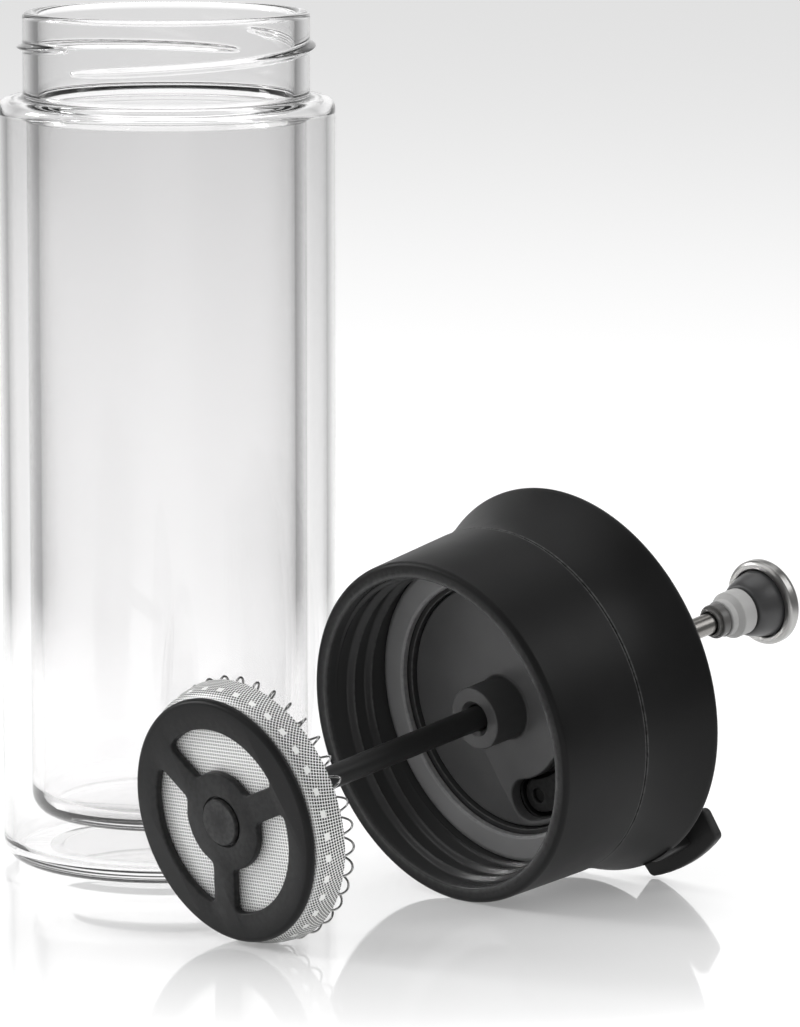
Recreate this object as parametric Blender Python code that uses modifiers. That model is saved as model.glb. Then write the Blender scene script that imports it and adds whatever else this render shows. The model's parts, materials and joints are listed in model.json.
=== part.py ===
# French press travel mug: a double-wall glass tumbler with a threaded neck, and the lid that
# screws onto it, taken off and lying on its side with the press plunger through it.
#
# The tumbler stands on the origin. The lid lies to its right and in front, its axis level to
# within a few degrees: it rests on the filter's coil, on the edge of its mouth and on its tab.
# Heights inside the lid are measured from its mouth, and heights on the plunger from the front
# of the press plate, both along the lid's axis.

import math

import bpy
import bmesh
import numpy as np
from mathutils import Matrix, Vector

mm = 0.001

# Shared clearances
fit_gap = 0.3 * mm            # between pieces that touch
slide_gap = 0.35 * mm         # round a piece that slides or turns
overrun = 2.0 * mm            # how far a cutter runs past what it cuts
floor_gap = 0.05 * mm         # under the lid where it lies

# Tumbler: outer wall
tumbler_height = 190.2 * mm
body_radius = 37.5 * mm
wall_thick = 2.0 * mm
foot_round = 4.5 * mm
foot_thick = 3.2 * mm
neck_height = 19.0 * mm

# Tumbler: inner liner and neck
neck_inset = 5.6 * mm          # neck's radius inside the body's
neck_wall = 3.4 * mm
liner_inset = 0.8 * mm        # liner's radius inside the neck's
liner_lift = 10.4 * mm        # floor of the liner above the table
liner_floor = 3.0 * mm
liner_round = 5.0 * mm
bore_round = 3.6 * mm
rim_round = 1.5 * mm
neck_step = 1.5 * mm          # length of the taper from neck to liner

# Lid: collar
thread_room = 3.0 * mm        # from the neck to the collar's skirt
skirt_wall = 3.6 * mm
collar_taper = 1.15 * mm
mouth_round = 1.1 * mm
collar_height = 23.7 * mm
lip_edge = 0.4 * mm
shelf_height = 19.5 * mm      # underside of the shelf inside the collar
shelf_width = 7.2 * mm
shelf_top = 22.1 * mm
groove_depth = 1.5 * mm

# Lid: mouth gasket
gasket_face = 17.5 * mm
gasket_inset = 0.2 * mm       # gasket's bore outside the glass's
gasket_edge = 0.35 * mm

# Lid: ceiling, its boss and the rod's way through
ceiling_face = 20.5 * mm
boss_radius = 7.0 * mm
boss_face = 11.1 * mm
rod_way = 3.05 * mm
boss_sink = 1.0 * mm
flange_thick = 1.0 * mm
flange_inset = 5.2 * mm       # flange's edge inside the bowl's wall
seal_radius = 5.3 * mm
seal_height = 1.6 * mm

# Lid: deck, the floor of the bowl on top
deck_thick = 2.2 * mm
tower_radius = 5.4 * mm
tower_height = 2.2 * mm

# Lid: flared shell
shell_wall = 3.45 * mm        # at the seam
rim_flare = 4.25 * mm         # how far the rim stands out past the seam
rim_land = 2.5 * mm
rim_height = 41.7 * mm        # from the mouth
bowl_start = 28.1 * mm        # height where the bowl's wall leaves the vertical
tongue_thick = 1.8 * mm
rim_edge = 0.6 * mm
outer_flare_share = 1.8       # power of the outer curve
bowl_flare_share = 1.5        # power of the bowl's curve
notch_depth = 1.7 * mm
notch_half = 4.8 * mm
notch_slope = 1.6 * mm

# Sip slot and plug
slot_inset = 6.3 * mm         # from the middle of the slot to the ceiling's edge
slot_half_angle = math.radians(20.0)
slot_share = 0.2196           # half its width, as a share of its distance from the lid's axis
plug_taper = 0.6 * mm
plug_flange = 1.1 * mm        # how far the plug's flange reaches past the slot
plug_flange_thick = 0.7 * mm
plug_depth = 1.9 * mm         # how far the plug enters the deck
dimple_radius = 1.7 * mm
dimple_depth = 0.9 * mm

# Flip cap
hinge_share = 0.4118          # where it stands between the tower and the plug
hinge_rise = 4.4 * mm         # above the deck
pin_radius = 0.9 * mm
barrel_radius = 2.0 * mm
barrel_half = 4.0 * mm
ear_thick = 2.0 * mm
ear_radius = 2.2 * mm
paddle_half = 13.7 * mm
paddle_thick = 2.4 * mm
paddle_past = 7.1 * mm        # how far the paddle reaches past the middle of the slot
arm_half = 4.3 * mm
arm_thick = 3.0 * mm
tab_past = 3.8 * mm           # how far the tab reaches past the rim
tab_depth = 9.1 * mm
tab_thick = 2.2 * mm
tab_rise = 5.4 * mm           # underside of the tab above the rim
tab_slope = 0.5 * mm          # how much higher its outer edge is
tab_half_width = 13.2 * mm
tab_half_angle = math.radians(15.3)
tab_corner = 1.5 * mm

# Plunger: press plate and its button
plate_room = 1.75 * mm        # between the plate's edge and the glass
plate_thick = 1.8 * mm
plate_round = 1.2 * mm
window_inner = 10.8 * mm
plate_margin = 6.55 * mm      # from the windows to the plate's edge
window_corner = 1.5 * mm
spoke_width = 6.2 * mm
spoke_count = 3
spoke_turn = math.radians(37.3)
button_radius = 5.1 * mm
button_proud = 0.7 * mm
button_sunk = 0.5 * mm
core_radius = 1.5 * mm        # rod inside its sleeve
core_depth = 0.6 * mm         # how far the rod enters the hub

# Plunger: screen, back plate, coil and nut
screen_thick = 0.4 * mm
screen_flare = 1.35 * mm      # how far the screen's edge stands out past the plate
screen_edge_height = 7.2 * mm
coil_squeeze = 0.7 * mm       # how far the coil stands out past the glass's bore
coil_turn = 1.95 * mm         # radius of one curl
coil_wire = 0.5 * mm
coil_height = 9.8 * mm
coil_curls = 35
coil_points = 8               # points a curl
coil_start = math.radians(125.2)
dish_margin = 4.6 * mm        # flat edge of the dish
dish_slope = 8.0 * mm         # width of its sloping part
dish_inset = 0.9 * mm         # dish's edge inside the ring that the coil runs round
dish_thick = 0.8 * mm
lacing_hole = 0.65 * mm
flow_hole = 2.6 * mm
flow_count = 8
nut_radius = 4.4 * mm
nut_height = 3.0 * mm

# Plunger: rod, sleeve and knob
rod_radius = 2.4 * mm
sleeve_foot = 2.45 * mm       # sleeve's radius at the filter
sleeve_head = 2.7 * mm        # and where it ends inside the lid
sleeve_end = 85.0 * mm
ferrule_height = 150.75 * mm
ferrule_radius = 3.9 * mm
ferrule_nose = 3.2 * mm
ferrule_nose_length = 1.0 * mm
ferrule_length = 3.2 * mm
neck_length = 6.9 * mm
neck_small = 4.2 * mm
neck_large = 5.35 * mm
neck_small_length = 1.8 * mm
knob_radius = 9.85 * mm
knob_depth = 5.7 * mm         # from the neck to the rolled edge
knob_dome = 3.8 * mm
knob_wall = 0.8 * mm
knob_edge = 2.1 * mm          # height of the rolled edge
knob_lip = 7.95 * mm
rod_knob_depth = 5.4 * mm

# Pose of the lid: where it lies, and how far the plunger is drawn
plunger_reach = 64.4 * mm     # from the press plate's face to the lid's mouth
lie_x = 14.5 * mm
lie_spare = 25.0 * mm         # room in front of the tumbler
lie_azimuth = math.radians(44.0)
lie_roll = math.radians(-29.5)

# Facets
wide_steps = 40
middle_steps = 32
small_steps = 20
smooth_angle = math.radians(35.0)
weld_distance = 0.01 * mm

# Places that follow from the sizes above
neck_foot = tumbler_height - neck_height
shell_bore = body_radius - wall_thick
neck_radius = body_radius - neck_inset
bore_radius = neck_radius - neck_wall
liner_radius = neck_radius - liner_inset
skirt_bore = neck_radius + thread_room
mouth_radius = skirt_bore + skirt_wall
seam_radius = mouth_radius + collar_taper
bowl_radius = seam_radius - shell_wall
rim_radius = seam_radius + rim_flare
bowl_mouth = rim_radius - rim_land
shelf_bore = skirt_bore - shelf_width
flange_radius = bowl_radius - flange_inset
gasket_bore = bore_radius + gasket_inset
slot_place = shelf_bore - slot_inset
slot_half_width = slot_place * slot_share
plug_inner = slot_place - slot_half_width - plug_flange
hinge_place = tower_radius + (plug_inner - tower_radius) * hinge_share
paddle_reach = slot_place + paddle_past
tab_reach = rim_radius + tab_past
tab_inner = tab_reach - tab_depth
plate_radius = bore_radius - plate_room
window_outer = plate_radius - plate_margin
screen_edge_radius = plate_radius + screen_flare
coil_ring = bore_radius + coil_squeeze - coil_turn - coil_wire / 2
dish_edge = coil_ring - dish_inset
dish_rise_radius = dish_edge - dish_margin
dish_floor_radius = dish_rise_radius - dish_slope
gasket_radius = skirt_bore - fit_gap
gasket_top = shelf_height - fit_gap
ceiling_radius = shelf_bore - fit_gap
flange_foot = shelf_top + fit_gap
ceiling_top = flange_foot + flange_thick
seal_floor = ceiling_top - seal_height
deck_foot = ceiling_top + fit_gap
deck_top = deck_foot + deck_thick
deck_radius = bowl_radius - fit_gap
tower_top = deck_top + tower_height
shell_foot = collar_height + fit_gap
tongue_radius = bowl_radius + tongue_thick
hinge_height = deck_top + hinge_rise
plug_top = deck_top + fit_gap + plug_flange_thick
paddle_foot = plug_top + fit_gap
core_bore = core_radius + fit_gap
core_tip = plate_thick - core_depth
rod_bore = rod_radius + fit_gap
screen_foot = plate_thick + fit_gap
dish_floor = screen_foot + screen_thick + fit_gap
dish_edge_foot = coil_height - dish_thick / 2
nut_foot = dish_floor + dish_thick + fit_gap
sleeve_start = nut_foot + nut_height + fit_gap
neck_start = ferrule_height + ferrule_length + fit_gap
knob_start = neck_start + neck_length + fit_gap
knob_edge_foot = knob_start + knob_depth
knob_widest = knob_edge_foot + knob_edge
coil_outer = coil_ring + coil_turn + coil_wire / 2

# The lid lies on the coil and on the edge of its mouth, which sets its tilt
lie_y = -(2 * body_radius + lie_spare)
lie_tilt = math.atan2(mouth_radius - coil_outer, plunger_reach + mouth_round - coil_height)
lie_z = coil_outer * math.cos(lie_tilt) - coil_height * math.sin(lie_tilt) + floor_gap
lie_turn = (Matrix.Rotation(lie_azimuth, 4, 'Z') @ Matrix.Rotation(math.pi / 2 - lie_tilt, 4, 'Y')
            @ Matrix.Rotation(lie_roll, 4, 'Z'))
plunger_place = Matrix.Translation((lie_x, lie_y, lie_z)) @ lie_turn
lid_place = plunger_place @ Matrix.Translation((0, 0, plunger_reach))
hinge_place_matrix = lid_place @ Matrix.Translation((hinge_place, 0, hinge_height))


def clear_scene():
    for scene_object in list(bpy.data.objects):
        bpy.data.objects.remove(scene_object, do_unlink=True)


def new_collection(name):
    collection = bpy.data.collections.new(name)
    bpy.context.scene.collection.children.link(collection)
    return collection


def finish_material(name, colour, roughness, metallic=0.0, clear=0.0):
    material = bpy.data.materials.new(name)
    material.use_nodes = True
    shader = material.node_tree.nodes['Principled BSDF']
    shader.inputs['Base Color'].default_value = (*colour, 1.0)
    shader.inputs['Roughness'].default_value = roughness
    shader.inputs['Metallic'].default_value = metallic
    shader.inputs['Transmission Weight'].default_value = clear
    material.diffuse_color = (*colour, 1.0)
    return material


def new_empty(name, matrix):
    empty = bpy.data.objects.new(name, None)
    empty.empty_display_size = body_radius
    parts.objects.link(empty)
    empty.matrix_world = matrix
    return empty


# An outline's corners are (across, up, round); each round corner becomes an arc.
def rounded(corners, steps=3, closed=True):
    points = []
    count = len(corners)
    for index, (across, up, radius) in enumerate(corners):
        here = Vector((across, up))
        at_end = not closed and index in (0, count - 1)
        if radius <= 0 or at_end:
            points.append(here)
            continue
        before = Vector(corners[index - 1][:2]) - here
        after = Vector(corners[(index + 1) % count][:2]) - here
        half = before.angle(after) / 2
        back = min(radius / math.tan(half), before.length / 2, after.length / 2)
        radius = back * math.tan(half)
        inward = (before.normalized() + after.normalized()).normalized()
        middle = here + inward * radius / math.sin(half)
        start = here + before.normalized() * back - middle
        end = here + after.normalized() * back - middle
        sweep = start.angle_signed(end)
        for step in range(steps + 1):
            turn = -sweep * step / steps
            points.append(middle + Vector((start.x * math.cos(turn) - start.y * math.sin(turn),
                                           start.x * math.sin(turn) + start.y * math.cos(turn))))
    return [(point.x, point.y) for point in points]


def add_part(name, mesh, material, parent, home=None):
    part = bpy.data.objects.new(name, mesh)
    (home or parts).objects.link(part)
    part.parent = parent
    if material:
        mesh.materials.append(material)
    return part


# A piece turned on its parent's Z axis. The outline runs down its outer side.
def turned(name, outline, steps, material, parent, closed=True, home=None):
    mesh = bpy.data.meshes.new(name)
    count = len(outline)
    edges = [(index, (index + 1) % count) for index in range(count if closed else count - 1)]
    mesh.from_pydata([(across, 0, up) for across, up in outline], edges, [])
    part = add_part(name, mesh, material, parent, home)
    screw = part.modifiers.new('turn', 'SCREW')
    screw.steps = steps
    screw.render_steps = steps
    screw.use_merge_vertices = True
    screw.merge_threshold = weld_distance
    screw.use_smooth_shade = True
    return part


# Turns an object's modifiers or curve into a plain mesh, with its caps welded.
def settle(part):
    bpy.context.view_layer.update()
    shape = part.evaluated_get(bpy.context.evaluated_depsgraph_get())
    mesh = bpy.data.meshes.new_from_object(shape)
    grid = bmesh.new()
    grid.from_mesh(mesh)
    bmesh.ops.remove_doubles(grid, verts=grid.verts, dist=weld_distance)
    bmesh.ops.dissolve_degenerate(grid, edges=grid.edges, dist=weld_distance)
    grid.to_mesh(mesh)
    grid.free()
    mesh.shade_smooth()
    mesh.set_sharp_from_angle(angle=smooth_angle)
    mesh.name = part.name
    if part.type == 'CURVE':
        solid = bpy.data.objects.new(part.name, mesh)
        part.users_collection[0].objects.link(solid)
        solid.parent = part.parent
        solid.matrix_basis = part.matrix_basis.copy()
        name = part.name
        bpy.data.objects.remove(part, do_unlink=True)
        solid.name = name
        return solid
    part.modifiers.clear()
    part.data = mesh
    return part


# A plate of a flat outline, between two heights. Its outline lies in the XY plane, or with
# upright set in the XZ plane, where the two heights are places along Y.
def slab(name, outline, low, high, material, parent, upright=False, home=None):
    curve = bpy.data.curves.new(name, 'CURVE')
    curve.dimensions = '2D'
    curve.fill_mode = 'BOTH'
    curve.extrude = (high - low) / 2
    spline = curve.splines.new('POLY')
    spline.points.add(len(outline) - 1)
    for point, (across, up) in zip(spline.points, outline):
        point.co = (across, up, 0, 1)
    spline.use_cyclic_u = True
    part = add_part(name, curve, material, parent, home)
    if upright:
        part.rotation_euler = (math.pi / 2, 0, 0)
        part.location = (0, (low + high) / 2, 0)
    else:
        part.location = (0, 0, (low + high) / 2)
    return settle(part)


def rod_cutter(name, radius, low, high, parent, place=(0, 0), along_y=False):
    mesh = bpy.data.meshes.new(name)
    grid = bmesh.new()
    bmesh.ops.create_cone(grid, cap_ends=True, segments=small_steps, radius1=radius, radius2=radius,
                          depth=high - low)
    grid.to_mesh(mesh)
    grid.free()
    part = add_part(name, mesh, None, parent, cutters)
    if along_y:
        part.rotation_euler = (math.pi / 2, 0, 0)
        part.location = (place[0], (low + high) / 2, place[1])
    else:
        part.location = (place[0], place[1], (low + high) / 2)
    return part


def hide_cutter(part):
    part.hide_render = True
    part.display_type = 'WIRE'
    return part


def boolean(part, other, operation='DIFFERENCE'):
    modifier = part.modifiers.new(other.name, 'BOOLEAN')
    modifier.operation = operation
    modifier.object = other
    hide_cutter(other)
    return part


# A bean: a band bent round the Z axis about the X direction, with round ends.
def bean(grow=0.0, steps=5, bend_steps=3):
    half = slot_half_width + grow
    points = []
    for side in (1, -1):
        for angle in np.linspace(-side * slot_half_angle, side * slot_half_angle, bend_steps + 1)[:-1]:
            reach = slot_place + side * half
            points.append((reach * math.cos(angle), reach * math.sin(angle)))
        middle = slot_place * math.cos(slot_half_angle), side * slot_place * math.sin(slot_half_angle)
        for turn in np.linspace(0, math.pi, steps + 1)[:-1]:
            angle = side * slot_half_angle + turn + (0 if side > 0 else math.pi)
            points.append((middle[0] + half * math.cos(angle), middle[1] + half * math.sin(angle)))
    return points


# A part of a quarter ellipse, from the axis outward and down.
def dome(radius, foot, rise, steps, last_share=1.0):
    angles = [math.pi / 2 * last_share * step / steps for step in range(steps + 1)]
    return [(radius * math.sin(angle), foot + rise * math.cos(angle)) for angle in angles]


def make_outer_wall():
    shoulder = body_radius - neck_radius
    inner_shoulder = shell_bore - neck_radius
    lip_bore = neck_radius + fit_gap
    outline = rounded([
        (lip_bore, neck_foot, 0),
        (body_radius, neck_foot, shoulder - fit_gap),
        (body_radius, 0, foot_round),
        (0, 0, 0)], closed=False)
    inside = rounded([
        (0, foot_thick, 0),
        (shell_bore, foot_thick, foot_round - wall_thick),
        (shell_bore, neck_foot - wall_thick, inner_shoulder - fit_gap),
        (lip_bore, neck_foot - wall_thick, 0)], closed=False)
    return settle(turned('outer_glass_wall', outline + inside, wide_steps, glass, tumbler))


def make_liner():
    outline = rounded([
        (bore_radius, tumbler_height, rim_round),
        (neck_radius, tumbler_height, rim_round),
        (neck_radius, neck_foot - wall_thick - neck_step, 0),
        (liner_radius, neck_foot - wall_thick - 2 * neck_step, 0),
        (liner_radius, liner_lift, liner_round),
        (0, liner_lift, 0)], closed=False)
    outline[0:1] = []
    inside = rounded([
        (0, liner_lift + liner_floor, 0),
        (bore_radius, liner_lift + liner_floor, bore_round),
        (bore_radius, tumbler_height, rim_round),
        (neck_radius, tumbler_height, 0)], steps=3, closed=False)[:-1]
    return settle(turned('inner_glass_liner', outline + inside, wide_steps, glass, tumbler))


def make_collar():
    groove_in = bowl_radius - fit_gap
    groove_out = tongue_radius + fit_gap
    pocket = flange_radius + fit_gap
    outline = rounded([
        (seam_radius, collar_height, 0),
        (mouth_radius, 0, mouth_round),
        (skirt_bore + lip_edge, 0, 0),
        (skirt_bore, lip_edge, 0),
        (skirt_bore, shelf_height, 0),
        (shelf_bore, shelf_height, 0),
        (shelf_bore, shelf_top, 0),
        (pocket, shelf_top, 0),
        (pocket, collar_height, 0),
        (groove_in, collar_height, 0),
        (groove_in, collar_height - groove_depth, 0),
        (groove_out, collar_height - groove_depth, 0),
        (groove_out, collar_height, 0)], steps=2)
    return settle(turned('lid_collar', outline, wide_steps, black_soft, lid))


def make_gasket():
    outline = rounded([
        (gasket_radius, gasket_top, gasket_edge),
        (gasket_radius, gasket_face, gasket_edge),
        (gasket_bore, gasket_face, gasket_edge),
        (gasket_bore, gasket_top, gasket_edge)], steps=1)
    return settle(turned('mouth_gasket', outline, wide_steps, silicone, lid))


def cut_slot(part):
    cutter = slab(part.name + '_slot', bean(), boss_face, tower_top + overrun, None, lid, home=cutters)
    return boolean(part, cutter)


def make_ceiling():
    pocket = seal_radius + fit_gap
    outline = rounded([
        (flange_radius, ceiling_top, 0),
        (flange_radius, flange_foot, 0),
        (ceiling_radius, flange_foot, 0),
        (ceiling_radius, ceiling_face, 0),
        (boss_radius, ceiling_face, 0),
        (boss_radius, boss_face, 0),
        (rod_way + boss_sink, boss_face, 0),
        (rod_way, boss_face + boss_sink, 0),
        (rod_way, seal_floor, 0),
        (pocket, seal_floor, 0),
        (pocket, ceiling_top, 0)])
    return settle(cut_slot(turned('lid_ceiling', outline, wide_steps, black_gloss, lid)))


def make_seal():
    outline = rounded([
        (seal_radius, ceiling_top, gasket_edge),
        (seal_radius, seal_floor + fit_gap, gasket_edge),
        (rod_way, seal_floor + fit_gap, gasket_edge),
        (rod_way, ceiling_top, gasket_edge)], steps=1)
    return settle(turned('rod_seal', outline, small_steps, silicone, lid))


def ear_outline():
    top = [(hinge_place + ear_radius * math.cos(angle), hinge_height + ear_radius * math.sin(angle))
           for angle in np.linspace(math.pi, 0, 9)]
    foot = deck_top - deck_thick / 2
    return top + [(hinge_place + ear_radius, foot), (hinge_place - ear_radius, foot)]


def make_deck():
    outline = rounded([
        (tower_radius, tower_top, 0),
        (tower_radius, deck_top, 0),
        (deck_radius, deck_top, 0),
        (deck_radius, deck_foot, 0),
        (rod_way, deck_foot, 0),
        (rod_way, tower_top, 0)])
    deck = turned('lid_deck', outline, wide_steps, black_soft, lid)
    cut_slot(deck)
    ear_near = barrel_half + slide_gap
    for side, name in ((1, 'ear_left'), (-1, 'ear_right')):
        low, high = sorted((side * ear_near, side * (ear_near + ear_thick)))
        boolean(deck, slab(name, ear_outline(), low, high, None, lid, upright=True, home=cutters), 'UNION')
    reach = ear_near + ear_thick + overrun
    pin_hole = rod_cutter('ear_bore', pin_radius + fit_gap, -reach, reach, lid,
                          (hinge_place, hinge_height), along_y=True)
    return settle(boolean(deck, pin_hole))


# The flare's outer wall and the bowl's wall each leave a straight start by a power curve.
def flare(start_radius, end_radius, start, end, power, steps):
    shares = np.linspace(0, 1, steps + 1)
    return [(start_radius + (end_radius - start_radius) * share ** power, start + (end - start) * share)
            for share in shares]


def make_flared_shell():
    outer = flare(seam_radius, rim_radius, shell_foot, rim_height - rim_edge, outer_flare_share, 6)
    bowl = flare(bowl_radius, bowl_mouth, bowl_start, rim_height - rim_edge, bowl_flare_share, 5)
    outline = outer[::-1] + [
        (tongue_radius, shell_foot),
        (tongue_radius, collar_height - groove_depth + fit_gap),
        (bowl_radius, collar_height - groove_depth + fit_gap)] + bowl + [
        (bowl_mouth + rim_edge, rim_height),
        (rim_radius - rim_edge, rim_height)]
    shell = turned('lid_flared_shell', outline, wide_steps, black_soft, lid)
    floor = rim_height - notch_depth
    notch = [(-notch_half, floor), (notch_half, floor),
             (notch_half + notch_slope + overrun, rim_height + overrun),
             (-notch_half - notch_slope - overrun, rim_height + overrun)]
    outside = rim_radius + overrun
    cutter = slab('rim_notch', notch, bowl_radius, outside, None, lid, upright=True, home=cutters)
    cutter.rotation_euler = (math.pi / 2, 0, math.pi / 2)
    cutter.location = ((bowl_radius + outside) / 2, 0, 0)
    return settle(boolean(shell, cutter))


def make_hinge_pin():
    reach = barrel_half + slide_gap + ear_thick
    mesh = bpy.data.meshes.new('hinge_pin')
    grid = bmesh.new()
    bmesh.ops.create_cone(grid, cap_ends=True, segments=small_steps, radius1=pin_radius,
                          radius2=pin_radius, depth=2 * reach)
    grid.to_mesh(mesh)
    grid.free()
    pin = add_part('hinge_pin', mesh, steel, lid)
    pin.rotation_euler = (math.pi / 2, 0, 0)
    pin.location = (hinge_place, 0, hinge_height)
    return settle(pin)


# The flip cap is drawn in the lid's frame and carried by the hinge.
def on_hinge(part):
    offset = Matrix.Translation((-hinge_place, 0, -hinge_height))
    part.matrix_basis = offset @ part.matrix_basis
    part.parent = flap
    return part


def bowl_at(height):
    share = max(0.0, (height - bowl_start) / (rim_height - rim_edge - bowl_start))
    return bowl_radius + (bowl_mouth - bowl_radius) * share ** bowl_flare_share


# The cap's side view: barrel, paddle, the arm that climbs the bowl's wall, and the way up to the
# tab through the notch in the rim.
def arm_section():
    clear = fit_gap + slide_gap
    over_notch = rim_height - notch_depth + clear
    tab_foot = rim_height + tab_rise
    climb = np.linspace(paddle_foot + arm_thick, over_notch, 4)
    outer = [(bowl_at(height) - clear, height) for height in climb]
    inner = [(across - arm_thick, height + arm_thick / 2) for across, height in outer[::-1]]
    return [
        (hinge_place + slide_gap, hinge_height - barrel_radius),
        (hinge_place + arm_thick, paddle_foot),
        (bowl_radius - arm_thick, paddle_foot)] + outer + [
        (rim_radius - slide_gap, over_notch),
        (rim_radius + slide_gap, over_notch + slide_gap),
        (rim_radius + slide_gap, tab_foot + tab_thick / 2),
        (tab_inner + slide_gap, tab_foot + tab_thick / 2)] + inner + [
        (paddle_reach, paddle_foot + paddle_thick),
        (hinge_place + barrel_radius, paddle_foot + paddle_thick),
        (hinge_place + slide_gap, hinge_height)]


def arm_plan():
    neck_start_x = hinge_place + arm_thick
    shoulder_x = slot_place - slot_half_width - plug_flange - arm_thick
    outline = [
        (hinge_place - slide_gap, barrel_half, 0),
        (neck_start_x, barrel_half, arm_half),
        (shoulder_x, paddle_half, arm_half),
        (paddle_reach, paddle_half, arm_half),
        (paddle_reach + arm_thick * 3 / 2, arm_half, arm_half),
        (tab_reach - arm_thick / 2, arm_half, 0)]
    return rounded(outline + [(across, -up, radius) for across, up, radius in reversed(outline)], steps=3)


def tab_section():
    low = rim_height + tab_rise
    return [
        (tab_inner - overrun, low),
        (tab_reach + overrun, low + tab_slope),
        (tab_reach + overrun, low + tab_slope + tab_thick),
        (tab_inner - overrun, low + tab_thick)]


def tab_plan():
    arc = [(tab_reach * math.cos(angle), tab_reach * math.sin(angle), 0)
           for angle in np.linspace(-tab_half_angle, tab_half_angle, 9)]
    arc[0] = (*arc[0][:2], tab_corner)
    arc[-1] = (*arc[-1][:2], tab_corner)
    inner = [(tab_inner, tab_half_width, tab_corner), (tab_inner, -tab_half_width, tab_corner)]
    return rounded(arc + inner, steps=3)


def make_flip_cap():
    low = deck_top
    high = rim_height + tab_rise + tab_slope + tab_thick + overrun
    cap = slab('flip_cap', arm_section(), -paddle_half - overrun, paddle_half + overrun, black_soft, lid,
               upright=True)
    boolean(cap, slab('arm_plan', arm_plan(), low, high, None, lid, home=cutters), 'INTERSECT')
    settle(cap)
    tab = slab('tab_body', tab_section(), -tab_reach, tab_reach, None, lid, upright=True, home=cutters)
    boolean(tab, slab('tab_plan', tab_plan(), low, high, None, lid, home=cutters), 'INTERSECT')
    settle(tab)
    reach = barrel_half + overrun
    hinge = hinge_place, hinge_height
    barrel = rod_cutter('barrel', barrel_radius, -barrel_half, barrel_half, lid, hinge, along_y=True)
    bore = rod_cutter('barrel_bore', pin_radius + fit_gap, -reach, reach, lid, hinge, along_y=True)
    boolean(cap, tab, 'UNION')
    boolean(cap, barrel, 'UNION')
    boolean(cap, bore)
    return on_hinge(settle(cap))


# The plug is a loft of beans: its tapered foot, its body and the flange that lies on the deck.
def make_plug():
    side = fit_gap
    levels = [
        (deck_top - plug_depth, -side - plug_taper),
        (deck_top, -side),
        (deck_top + fit_gap, -side),
        (deck_top + fit_gap, plug_flange),
        (plug_top, plug_flange)]
    mesh = bpy.data.meshes.new('flip_plug')
    grid = bmesh.new()
    rings = []
    for height, grow in levels:
        rings.append([grid.verts.new((across, along, height)) for across, along in bean(grow)])
    for lower, upper in zip(rings, rings[1:]):
        for index in range(len(lower)):
            after = (index + 1) % len(lower)
            grid.faces.new((lower[index], lower[after], upper[after], upper[index]))
    grid.faces.new(list(reversed(rings[0])))
    grid.faces.new(rings[-1])
    bmesh.ops.recalc_face_normals(grid, faces=grid.faces)
    grid.to_mesh(mesh)
    grid.free()
    plug = add_part('flip_plug', mesh, black_rubber, lid)
    foot = deck_top - plug_depth
    for side, name in ((1, 'dimple_left'), (-1, 'dimple_right')):
        place = slot_place * math.cos(slot_half_angle), side * slot_place * math.sin(slot_half_angle)
        boolean(plug, rod_cutter(name, dimple_radius, foot - overrun, foot + dimple_depth, lid, place))
    return on_hinge(settle(plug))


# One window between two spokes: two arcs joined by sides that run along the spokes.
def window_outline(first, last):
    half = spoke_width / 2
    points = []
    for radius, turn in ((window_outer, 1), (window_inner, -1)):
        back = math.asin(half / radius)
        angles = np.linspace(first + back, last - back, 9 if turn > 0 else 5)[::turn]
        for index, angle in enumerate(angles):
            at_corner = index in (0, len(angles) - 1)
            points.append((radius * math.cos(angle), radius * math.sin(angle),
                           window_corner if at_corner else 0))
    return rounded(points, steps=2)


def make_press_plate():
    pocket = button_radius + fit_gap
    outline = [(0, core_tip - fit_gap, 0), (core_bore, core_tip - fit_gap, 0), (core_bore, plate_thick, 0),
               (plate_radius, plate_thick, window_corner / 3),
               (plate_radius, 0, plate_round),
               (pocket, 0, 0), (pocket, button_sunk, 0), (0, button_sunk, 0)]
    plate = turned('press_plate', rounded(outline, steps=3, closed=False), wide_steps, black_gloss, plunger,
                   closed=False)
    third = 2 * math.pi / spoke_count
    for index in range(spoke_count):
        first = spoke_turn + index * third
        outline = window_outline(first, first + third)
        name = 'window_%d' % (index + 1)
        boolean(plate, slab(name, outline, -overrun, plate_thick + overrun, None, plunger, home=cutters))
    return settle(plate)


def make_button():
    outline = rounded([
        (0, button_sunk - fit_gap, 0),
        (button_radius, button_sunk - fit_gap, 0),
        (button_radius, -button_proud, button_proud / 2),
        (0, -button_proud, 0)], steps=2, closed=False)
    return settle(turned('hub_button', outline, middle_steps, black_gloss, plunger, closed=False))


def make_screen():
    edge = screen_edge_radius
    inner = screen_thick
    outline = rounded([
        (edge, screen_edge_height, 0),
        (plate_radius - inner, screen_foot, inner * 2),
        (core_bore, screen_foot, 0),
        (core_bore, screen_foot + screen_thick, 0),
        (plate_radius - inner * 2, screen_foot + screen_thick, inner),
        (edge - inner, screen_edge_height, 0)], steps=2)
    return settle(turned('mesh_screen', outline, wide_steps, mesh_steel, plunger))


# One unbroken coil laced round the back plate's edge. It runs round a ring, and each curl
# passes through one hole of the plate. Its ends run straight for one wire's width.
def coil_route():
    turns = np.linspace(0, coil_curls, coil_curls * coil_points + 1)
    around = coil_start + turns * 2 * math.pi / (coil_curls + 1)
    curl = 2 * math.pi * turns
    radius = coil_ring - coil_turn * np.cos(curl)
    route = np.column_stack([radius * np.cos(around), radius * np.sin(around),
                             coil_height + coil_turn * np.sin(curl)])
    first = route[0] - (route[1] - route[0]) / np.linalg.norm(route[1] - route[0]) * coil_wire
    last = route[-1] + (route[-1] - route[-2]) / np.linalg.norm(route[-1] - route[-2]) * coil_wire
    first[:2] = route[0][:2]
    last[:2] = route[-1][:2]
    return np.vstack([first, route, last])


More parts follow.
